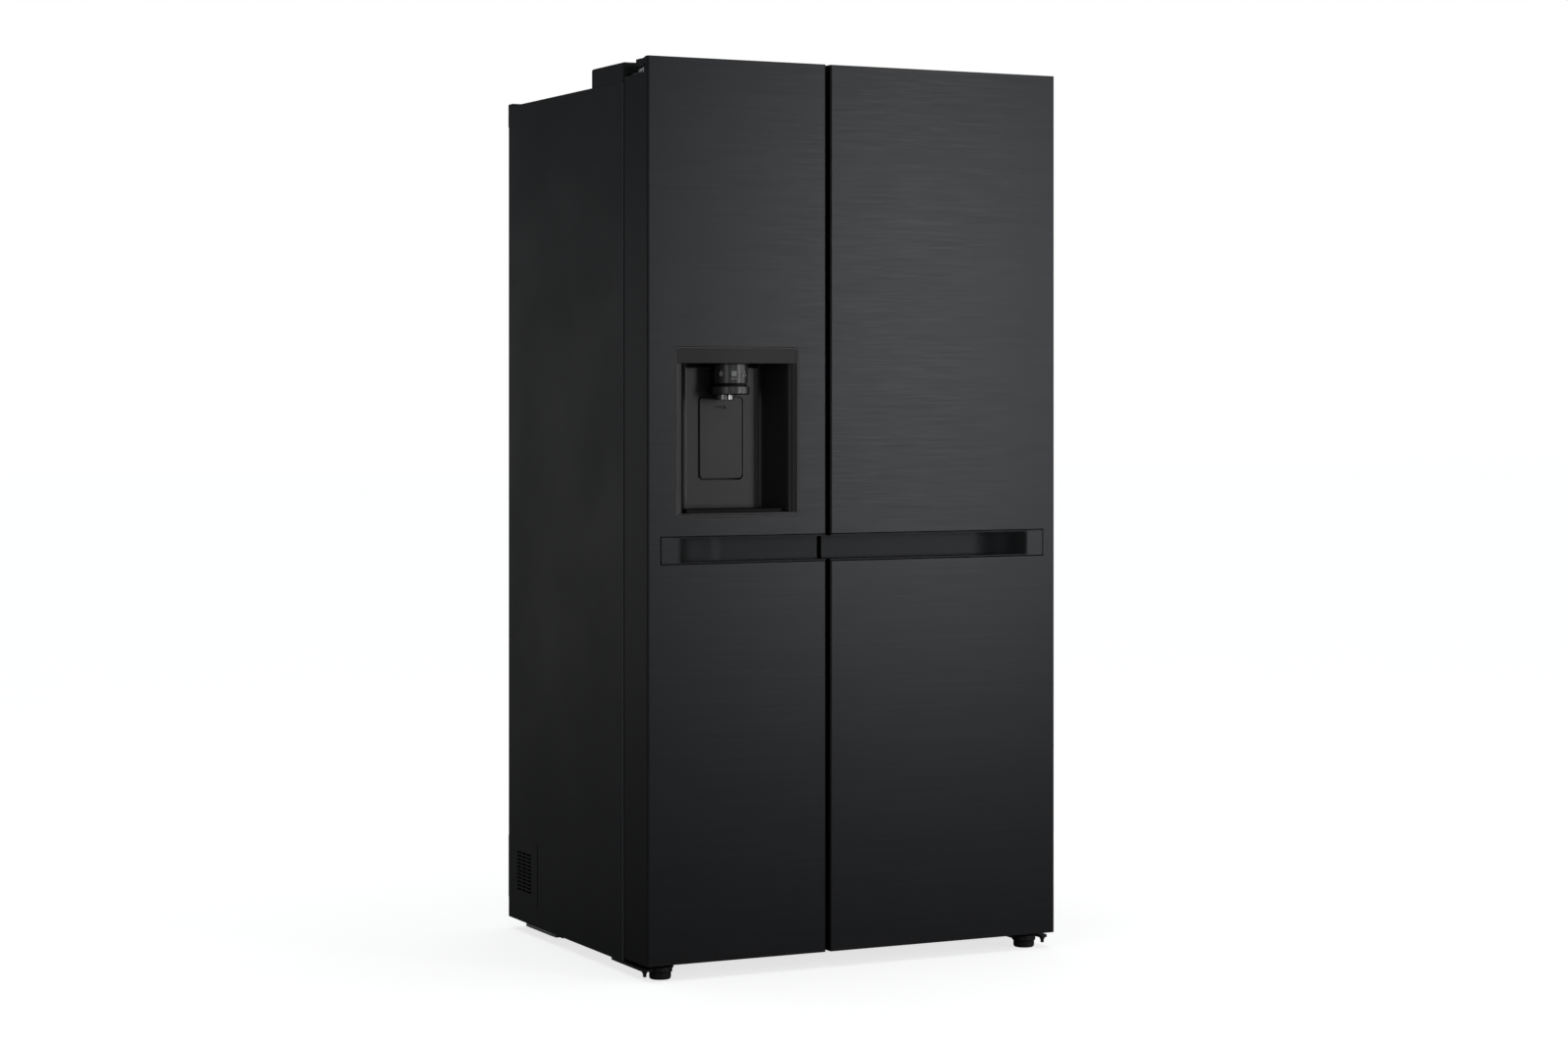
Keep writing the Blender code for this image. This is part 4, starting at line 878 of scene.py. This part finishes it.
WATER_MARK = [
    (0.0, 0.0072),
    (0.0040, 0.0008),
    (0.0040, -0.0026),
    (0.0, -0.0056),
    (-0.0040, -0.0026),
    (-0.0040, 0.0008),
]
CUBE_MARK = [(-0.0050, -0.0050), (0.0050, -0.0050), (0.0050, 0.0052), (-0.0050, 0.0052)]
BAR_MARK = [(-0.0062, -0.0108), (0.0062, -0.0108), (0.0062, -0.0092), (-0.0062, -0.0092)]
CHIP = [(-0.0026, -0.0020), (0.0026, -0.0020), (0.0, 0.0028)]
CHIP_PLACES = [(-0.0034, -0.0032), (0.0034, -0.0032), (0.0, 0.0036)]
CHIP_MARKS = [[(u + du, v + dv) for u, v in CHIP] for du, dv in CHIP_PLACES]
DIAL_MARKS = (
    (-62.0, [WATER_MARK]),
    (-15.0, [CUBE_MARK, BAR_MARK]),
    (27.0, CHIP_MARKS),
)


def add_dial():
    """The brushed drum with three raised generic marks: a drop, a cube and chips; a near-black
    ring at its top paints the shadow under the band.
    """
    low, high = DRUM_Z
    profile = [
        (DRUM_RADIUS - 0.007, low),
        (DRUM_RADIUS - 0.0012, low),
        (DRUM_RADIUS, low + 0.0012),
        (DRUM_RADIUS, high - 0.0010),
        (DRUM_RADIUS - 0.0010, high),
        (DRUM_RADIUS - 0.007, high),
    ]
    drum = turned(profile, (DIAL_X, DIAL_Y, 0.0), steps=96, loop=True)
    piece("dial_drum", drum, "dial", DIAL_METAL, ["dispenser_dial"], edge=0)
    # A thin near-black ring at the drum's top: a painted shadow where the drum meets the band.
    shadow_flange = square_ring(DRUM_RADIUS - 0.006, DIAL_RADIUS, high - 0.0006, high + 0.0002, 64)
    piece("dial_shadow_flange", shadow_flange, "dial", HEAD_PLASTIC_AND_SHADOW, edge=0)
    to_middle = Matrix.Translation((DIAL_X, DIAL_Y, (low + high) / 2))
    marks = []
    for degrees, outlines in DIAL_MARKS:
        turn = to_middle @ Matrix.Rotation(math.radians(degrees), 4, "Z")
        for outline in outlines:
            mark = prism(outline, "Y", (-DRUM_RADIUS - 0.0003, -DRUM_RADIUS + 0.0014))
            mark.transform(turn)
            marks.append(mark)
    piece("dial_marks", merge(*marks), "dial", MARK_PAINT, edge=0)


def add_paddle():
    """The push plate, with a shallow slot near its top and its hanger behind it."""
    front = PADDLE_Y[0]
    plate = prism(rectangle(PADDLE_X, PADDLE_Z, 0.008), "Y", (front, front + 0.004))
    slot_z = about(PADDLE_Z[1] - 0.020, 0.0011)
    slot = block(about(DIAL_X - 0.008, 0.011), (front - PAST, front + 0.0020), slot_z)
    shape = round_edges(carve(plate, slot), 0.0010, lambda m, d: m.y < front + 0.0001, 3)
    hanger_y = (front + 0.0035, POCKET_BACK_Y - 0.0040)
    hanger = soft_block(about(sum(PADDLE_X) / 2, 0.030), hanger_y, (1.119, 1.129), 0.001)
    paddle = merge(shape, hanger)
    piece("push_paddle", paddle, "paddle", DISPENSER_PLASTIC, ["dispenser_paddle"], 0.0002)


# ---------------------------------------------------------------- cabinet

VENT_FRONT_Y = 0.2005
VENT_COLUMN_PITCH, VENT_SLOT_LENGTH = 0.028, 0.024
VENT_ROW_PITCH, VENT_SLOT_HEIGHT = 0.0078, 0.0042


def case_front_corner(middle, direction):
    """Chooses the upright outer edges at the front of the case."""
    at_side = abs(abs(middle.x) - CASE_X[1]) < 0.0004
    return abs(direction.z) > 0.9 and at_side and middle.y < CASE_Y[0] + 0.0004


def add_case():
    """The painted case, light rods on its front folds that paint the folds' highlight, a
    near-black sheet of painted shade behind the vent slots, and the roller carrier.
    """
    refined("outer_case", CASE_PAINT, 0.0006, [(0.0021, 4, case_front_corner)])
    # A near-black sheet just inside the case covers the vent slots: painted shade for the dark
    # machine room behind them.
    shade_sheet_x = (CASE_X[0] + 0.0016, CASE_X[0] + 0.0030)
    shade_sheet = soft_block(shade_sheet_x, (VENT_FRONT_Y, CASE_Y[1] - 0.012), (0.080, 0.185), 0.0004)
    piece("vent_shade_sheet", shade_sheet, CABINET, VENT_SHADE, edge=0)
    carrier_x = (CASE_X[0] + 0.0005, CASE_X[0] + 0.012)
    carrier = soft_block(carrier_x, (0.122, 0.2660), (0.0172, 0.0236), 0.0012)
    piece("roller_carrier_left", carrier, CABINET, SILVER_PLASTIC, edge=0)
    # Light rods along the front folds: a painted highlight where the rounded fold catches the
    # light.
    inset = 0.0009
    middle_z, height = sum(CASE_Z) / 2, CASE_Z[1] - CASE_Z[0] - 0.004
    beads = [
        rod(0.0011, (x, CASE_Y[0] + inset, middle_z), height, steps=12)
        for x in grow(CASE_X, -inset)
    ]
    piece("case_front_highlight_beads", merge(*beads), CABINET, FOLD_HIGHLIGHT, edge=0)
    add_vent_plate()


def add_vent_plate():
    """The plate with the air slots, low on the left side near the back."""
    plate_y = (VENT_FRONT_Y, CASE_Y[1] - 0.0006)
    reach = (CASE_X[0] - 0.0008, CASE_X[0] - 0.0001)
    plate = prism(rectangle(plate_y, (0.065, 0.200), 0.004), "X", reach)
    slots = []
    for column in range(3):
        y = FRONT_Y + 0.601 + VENT_COLUMN_PITCH * column
        for row in range(11):
            z = 0.0885 + VENT_ROW_PITCH * row
            slot_y, slot_z = (y, y + VENT_SLOT_LENGTH), (z, z + VENT_SLOT_HEIGHT)
            slots.append((grow(reach, PAST), slot_y, slot_z))
    piece("vent_plate", carve(plate, blocks(slots)), CABINET, CASE_PAINT, edge=0.0002)


def add_rear_cap():
    """The rounded strip along the case's top rear edge."""
    x, y, z = span("rear_top_cap")
    top = z[1] - 0.005
    outline = rounded(
        [
            (y[0], CASE_Z[1] + GAP),
            (CASE_Y[1] + GAP, CASE_Z[1] + GAP),
            (CASE_Y[1] + GAP, z[0], 0.0008),
            (y[1], z[0], 0.0008),
            (y[1], top, 0.0038),
            (y[0], top, 0.0038),
        ],
        steps=8,
    )
    strip = prism(outline, "X", x)
    piece("rear_cap_strip", strip, CABINET, CAP_PLASTIC, ["rear_top_cap"], 0.0010)


def screw_head(place, axis="Z", radius=0.0045, sign=1.0):
    """A low round head with a cross recess, standing up from a face."""
    dome = turned(
        [
            (radius, 0.0),
            (radius, 0.0010),
            (radius * 0.86, 0.0019),
            (radius * 0.55, 0.0025),
            (radius * 0.2, 0.0027),
        ],
        (0.0, 0.0, 0.0),
        steps=20,
    )
    arm, wide = radius * 0.55, radius * 0.13
    depth = (0.0012, 0.01)
    across = block(about(0, arm), about(0, wide), depth)
    upright = block(about(0, wide), about(0, arm), depth)
    head = carve(dome, across, upright)
    turn = TURN_TO_AXIS[axis]
    if sign < 0:
        turn = turn @ Matrix.Rotation(math.pi, 4, "X")
    head.transform(Matrix.Translation(place) @ turn)
    return head


def add_top_hinge(side, label):
    """The hinge bracket with its pin, and the cover over it."""
    refined(f"hinge_bracket_top_{label}", BARE_STEEL, 0.0004)
    cap = turned(
        [(0.0062, 1.7642), (0.0066, 1.7650), (0.0062, 1.7690), (0.0044, 1.7706), (0.0012, 1.7712)],
        (side * HINGE_X, HINGE_Y, 0.0),
    )
    piece(f"hinge_pin_cap_{label}", cap, CABINET, CHROME, edge=0)
    x, y, z = span(f"hinge_cover_{label}")
    cover = block(x, y, z)
    round_edges(cover, 0.0055, lambda m, d: m.z > z[1] - 0.001, 5)
    round_edges(cover, 0.003, along("Z"), 4)
    hollow = block(grow(x, -0.003), grow(y, -0.003), (z[0] - PAST, z[1] - 0.003))
    slot_x = on_side(side, *about(HINGE_X, 0.009))
    slot = block(slot_x, about(y[0], PAST), (z[0] - PAST, 1.7655))
    shape = carve(cover, hollow, slot)
    piece(f"hinge_cap_{label}", shape, CABINET, CAP_PLASTIC, [f"hinge_cover_{label}"])
    screw = screw_head((side * 0.392, (y[0] + y[1]) / 2, z[1] - 0.0002))
    piece(f"hinge_cap_screw_{label}", screw, CABINET, BARE_STEEL, edge=0)


FOOT_PROFILE = [
    (0.0190, 0.0),
    (0.0206, 0.0012),
    (0.0214, 0.0045),
    (0.0214, 0.0125),
    (0.0226, 0.0135),
    (0.0240, 0.0150),
    (0.0240, 0.0225),
    (0.0228, 0.0243),
    (0.0100, 0.0248),
    (0.0060, 0.0254),
    (0.0056, 0.0262),
]
GRIP_COUNT = 16
GRIP_CIRCLE = 0.0243  # where the small grooves in a foot's rim have their middles
FOOT_ROOM = 0.0262  # how far the hinge plate stays off the foot's axis


def add_bracket_plate(side, label, middle):
    """The lower hinge plate, cut back around the foot, with its sleeve."""
    ahead_y = (FRONT_Y - PAST, middle[1])
    trimmed = carve(
        welded(f"hinge_bracket_bottom_{label}"),
        block(on_side(side, 0.30, 0.381), (FRONT_Y - PAST, 0.0), (0.0, 0.030)),
        rod(FOOT_ROOM, (middle[0], middle[1], 0.020), 0.020, steps=48),
        block(about(middle[0], FOOT_ROOM), ahead_y, (0.010, 0.030)),
        block(on_side(side, 0.30, 0.400), ahead_y, (0.010, 0.030)),
    )
    replaced = [f"hinge_bracket_bottom_{label}"]
    piece(f"bracket_plate_{label}", trimmed, CABINET, DARK_PLATE, replaced)
    sleeve = turned(
        [
            (0.0030, 0.0075),
            (0.0034, 0.0082),
            (0.0036, 0.0130),
            (0.0052, 0.0150),
            (0.0056, 0.0188),
            (0.0030, 0.0188),
        ],
        (side * 0.4475, SMALL_SCREW_Y, 0.0),
        steps=24,
        loop=True,
    )
    piece(f"bracket_sleeve_{label}", sleeve, CABINET, DARK_PLATE, edge=0)


def add_running_gear(side, label):
    """The lower hinge plate with its screw, the levelling foot and the rear roller."""
    x, y = span(f"foot_{label}")[:2]
    middle = ((x[0] + x[1]) / 2, (y[0] + y[1]) / 2, 0.0)
    add_bracket_plate(side, label, middle)
    foot = turned(FOOT_PROFILE, middle, steps=48)
    grips = []
    for step in range(GRIP_COUNT):
        angle = math.tau * step / GRIP_COUNT
        grip_x = middle[0] + GRIP_CIRCLE * math.cos(angle)
        grip_y = middle[1] + GRIP_CIRCLE * math.sin(angle)
        grips.append(rod(0.0014, (grip_x, grip_y, 0.0188), 0.006, steps=8))
    shape = carve(foot, *grips)
    piece(f"levelling_foot_{label}", shape, f"foot_{label}_body", NYLON, [f"foot_{label}"], 0)
    refined(f"roller_{label}", NYLON, 0.0008)
    screw = screw_head((side * HINGE_X, FRONT_Y + 0.150, 0.0187), sign=-1.0)
    piece(f"bracket_screw_{label}", screw, CABINET, BARE_STEEL, edge=0)


def add_back():
    """The back sheet with its pressed beads, the louvred cover and their screws."""
    y, z = span("back_panel")[1:]
    face = y[1]
    refined("back_panel", GALVANISED, 0.0003)
    beads = []
    for column in range(5):
        outline = rectangle(about(-0.34 + 0.17 * column, 0.009), grow(z, -0.10), 0.008)
        bead = prism(outline, "Y", (face - 0.0005, face + 0.0018))
        beads.append(round_edges(bead, 0.0015, lambda m, d: m.y > face + 0.001, 3))
    piece("back_beads", merge(*beads), CABINET, GALVANISED, edge=0)
    refined("machine_cover", GALVANISED, 0.0003)
    hoods = []
    for column in range(9):
        start = -0.36 + 0.082 * column
        for row in range(2):
            low = 0.11 + 0.07 * row + 0.012
            outline = [
                (face - 0.0004, low),
                (face + 0.0022, low - 0.0050),
                (face + 0.0024, low - 0.0036),
                (face + 0.0006, low + 0.0030),
                (face - 0.0004, low + 0.0030),
            ]
            hoods.append(prism(outline, "X", (start - 0.001, start + 0.051)))
    piece("cover_hoods", merge(*hoods), CABINET, GALVANISED, edge=0.0002)
    heads = [
        screw_head((place_x, face - 0.0001, place_z), "Y", 0.0040)
        for place_x in (-0.44, -0.22, 0.0, 0.22, 0.44)
        for place_z in (0.04, 0.270, 0.300)
    ]
    piece("back_screws", merge(*heads), CABINET, BARE_STEEL, edge=0)


# ---------------------------------------------------------------- compartments

CAVITY_BACK_Y = 0.300
CAVITY_Z = (0.100, 1.700)
FREEZER_CAVITY = (-0.4065, -0.0920)
FRIDGE_CAVITY = (-0.0400, 0.4065)
NEAR = 0.0005  # how far past a cavity's face an edge still counts as its own


def in_fridge(middle, direction):
    """Chooses the edges of the fridge's cavity."""
    x, z = grow(FRIDGE_CAVITY, NEAR), grow(CAVITY_Z, NEAR)
    within = x[0] < middle.x < x[1] and z[0] < middle.z < z[1]
    return within and middle.y < CAVITY_BACK_Y + NEAR


def add_shelves(label, x, shelves):
    """The glass shelves with their front trims, and the rails that carry them."""
    rails = []
    for node in shelves:
        shelf_x, shelf_y, shelf_z = span(node)
        refined(node, GLASS, 0.0006)
        trim_y = (shelf_y[0] - 0.0035, shelf_y[0] + 0.016)
        trim_z = (shelf_z[0] - 0.005, shelf_z[1] + 0.003)
        front = soft_block(grow(shelf_x, -0.0006), trim_y, trim_z, 0.0025)
        groove_y = (shelf_y[0], shelf_y[0] + 0.05)
        groove = block(grow(shelf_x, -0.002), groove_y, grow(shelf_z, 0.0001))
        piece(f"{node}_trim", carve(front, groove), CABINET, TRIM_GREY, edge=0)
        rail_y = (shelf_y[0] + 0.02, shelf_y[1] - 0.01)
        rail_z = (shelf_z[0] - 0.012, shelf_z[0] - 0.0004)
        for wall, way in ((x[0], 1), (x[1], -1)):
            rails.append(soft_block(off_wall(wall, way, 0.006), rail_y, rail_z, 0.0018))
    piece(f"{label}_shelf_rails", merge(*rails), CABINET, LINER, edge=0)


def add_drawer(node):
    """A clear drawer with a grey front around a window, and its grip."""
    add_shell(node, DRAWER_DROP)
    x, y, z = span(node)
    height = z[1] - DRAWER_DROP
    front_y = (y[0] - 0.0042, y[0] - 0.0002)
    front = soft_block(grow(x, -0.001), front_y, (z[0] + 0.004, height + 0.001), 0.0018)
    window_outline = rectangle(grow(x, -0.030), (z[0] + 0.030, height - 0.060), 0.012)
    window = prism(window_outline, "Y", grow(y, PAST))
    piece(f"{node}_front", carve(front, window), CABINET, TRIM_GREY, edge=0.0004)
    grip_y = (y[0] - 0.011, y[0] - 0.0036)
    grip = soft_block(about(sum(x) / 2, 0.075), grip_y, (height - 0.030, height - 0.012), 0.003)
    piece(f"{node}_grip", grip, CABINET, LINER, edge=0)


def add_compartment(label, x, shelves, drawers):
    """A compartment's shelves, drawers and lamp."""
    add_shelves(label, x, shelves)
    for node in drawers:
        add_drawer(node)
    lamp_z = (CAVITY_Z[1] - 0.007, CAVITY_Z[1] + 0.001)
    lamp = soft_block(about(sum(x) / 2, 0.080), (-0.16, -0.10), lamp_z, 0.003)
    piece(f"{label}_lamp", lamp, CABINET, LAMP, edge=0)


def add_inside():
    """Both liners and what they hold; softened edges broke faces of the freezer's liner."""
    refined("freezer_liner", LINER, 0.0)
    add_compartment(
        "freezer",
        FREEZER_CAVITY,
        ["freezer_shelf_1", "freezer_shelf_2"],
        ["freezer_drawer_1", "freezer_drawer_2"],
    )
    refined("fridge_liner", LINER, 0.0006, [(0.010, 4, in_fridge)])
    add_compartment(
        "fridge",
        FRIDGE_CAVITY,
        ["fridge_shelf_1", "fridge_shelf_2", "fridge_shelf_3"],
        ["crisper_1", "crisper_2"],
    )


PLAIN_FINISHES = [
    (CAP_PLASTIC, 0.0006, ["condenser_fan_frame"]),
    (CAP_PLASTIC, 0.0003, ["condenser_fan_blade", "evaporator_fan_blade"]),
    (LINER, 0.0008, ["freezer_back_duct", "fridge_back_duct", "ice_maker"]),
    (CLEAR, 0.0, ["ice_bin", "ice_tray"]),
    (RUBBER, 0.0015, ["freezer_gasket", "fridge_gasket"]),
    (GALVANISED, 0.0003, ["base_plate"]),
    (COMPRESSOR_PAINT, 0.0006, ["compressor"]),
    (ALUMINIUM, 0.0002, ["evaporator_coil"]),
    (FOAM, 0.0, ["cabinet_foam"]),
]


def add_plain_finishes():
    """The parts that need only softer edges and a finish; two keep their CAD mesh."""
    for material, edge, names in PLAIN_FINISHES:
        for name in names:
            refined(name, material, edge)
    for name, material in (("condenser_coil", COPPER), ("ice_auger", BARE_STEEL)):
        slots = NODES[name].data.materials
        slots.clear()
        slots.append(material)


# ---------------------------------------------------------------- assembly

add_door_panel(LEFT, "freezer", FREEZER_X, [dispenser_hole(0.0008, DOOR_BACK_Y - 0.01)])
add_door_panel(RIGHT, "fridge", FRIDGE_X, [])
chute_hole = block(about(DIAL_X, 0.045), (FRONT_Y + 0.02, DOOR_BACK_Y + PAST), CHUTE_Z)
for side, label, door_x, holes in (
    (LEFT, "freezer", FREEZER_X, [chute_hole]),
    (RIGHT, "fridge", FRIDGE_X, []),
):
    add_handle(side, label)
    add_door_ends(side, label, door_x)
    add_inner_door(label, door_x, holes)
    add_baskets(label)
add_dispenser_frame()
add_dispenser_housing()
add_drip_tray()
add_dispenser_head()
add_dial()
add_paddle()
add_case()
add_rear_cap()
for side, label in ((LEFT, "left"), (RIGHT, "right")):
    add_top_hinge(side, label)
    add_running_gear(side, label)
add_back()
add_inside()
add_plain_finishes()


# ---------------------------------------------------------------- camera, light and floor


CAMERA_PLACE = (-2.938, -5.9845, 1.132)
CAMERA_HEADING = -26.29  # degrees about Z, from looking along +Y

# name, place, target, width and height, power in watts
LAMPS = (
    ("key", (2.33, -4.4, 1.42), (0.1, 0.0, 1.15), (0.8, 2.3), 24.0),
    ("kicker", (3.5, -3.1, 1.3), (-0.2, -0.3, 1.0), (0.25, 1.6), 3.0),
    ("right", (4.6, -2.1, 1.2), (0.0, -0.3, 1.0), (2.6, 2.2), 16.0),
    ("edge", (-4.4, -3.2, 1.2), (0.0, 0.0, 1.0), (0.8, 2.2), 7.0),
    ("front", (-1.0, -5.2, 1.2), (0.0, 0.0, 1.0), (0.2, 2.2), 5.0),
    ("back", (-2.6, 4.4, 0.95), (-0.3, 0.0, 0.9), (2.2, 1.8), 3.0),
)


def add_camera():
    """A level camera, in front and to the left of the refrigerator."""
    data = bpy.data.cameras.new("camera")
    data.lens = 73.08
    data.sensor_width = 36.0
    data.shift_y = -0.079
    data.clip_end = 60.0
    camera = add_object("camera", data)
    camera.location = CAMERA_PLACE
    camera.rotation_euler = (math.radians(90.0), 0.0, math.radians(CAMERA_HEADING))
    bpy.context.scene.camera = camera


def add_area(name, place, target, size, power):
    """A soft rectangular lamp that isn't seen itself."""
    data = bpy.data.lights.new(name, "AREA")
    data.shape = "RECTANGLE"
    data.size, data.size_y = size
    data.energy = power
    light = add_object(name, data)
    light.location = place
    aim = Vector(target) - Vector(place)
    light.rotation_euler = aim.to_track_quat("-Z", "Y").to_euler()
    light.visible_camera = False


def mix_by_sight(tree, unseen, seen, output):
    """Shade one way for what is seen directly and another way for the light it sends."""
    path = tree.nodes.new("ShaderNodeLightPath")
    mix = tree.nodes.new("ShaderNodeMixShader")
    tree.links.new(path.outputs["Is Camera Ray"], mix.inputs["Fac"])
    tree.links.new(unseen, mix.inputs[1])
    tree.links.new(seen, mix.inputs[2])
    tree.links.new(mix.outputs["Shader"], output)


def add_lights():
    """A white backdrop with a dim room behind it, the soft lamps and a wide sun from above."""
    world = bpy.data.worlds.new("studio")
    bpy.context.scene.world = world
    world.use_nodes = True
    tree = world.node_tree
    room = tree.nodes["Background"]
    room.inputs["Color"].default_value = (0.90, 0.945, 1.0, 1.0)
    room.inputs["Strength"].default_value = 0.115
    backdrop = tree.nodes.new("ShaderNodeBackground")
    backdrop.inputs["Color"].default_value = (1.0, 1.0, 1.0, 1.0)
    backdrop.inputs["Strength"].default_value = 1.0
    surface = tree.nodes["World Output"].inputs["Surface"]
    mix_by_sight(tree, room.outputs[0], backdrop.outputs[0], surface)
    for name, place, target, size, power in LAMPS:
        add_area(name, place, target, size, power)
    data = bpy.data.lights.new("top", "SUN")
    data.energy = 0.6
    data.angle = math.radians(60.0)
    add_object("top", data)


def add_floor():
    """A wide floor that looks white but sends little light back to the object."""
    shape = bmesh.new()
    bmesh.ops.create_grid(shape, x_segments=1, y_segments=1, size=40.0)
    mesh = mesh_of("floor", shape)
    floor = add_object("floor", mesh)
    shader = Shader("floor", (0.9, 0.9, 0.9), 0.7)
    shader.vary_roughness(shader.noise(3.0), 0.05)
    shader.out.inputs["Emission Color"].default_value = (1.0, 1.0, 1.0, 1.0)
    shader.out.inputs["Emission Strength"].default_value = 0.74
    dim = shader.node("ShaderNodeBsdfDiffuse")
    dim.inputs["Color"].default_value = (0.20, 0.20, 0.20, 1.0)
    surface = shader.tree.nodes["Material Output"].inputs["Surface"]
    mix_by_sight(shader.tree, dim.outputs[0], shader.out.outputs[0], surface)
    mesh.materials.append(shader.material)


add_camera()
add_lights()
add_floor()
bpy.context.scene.view_settings.view_transform = "Standard"
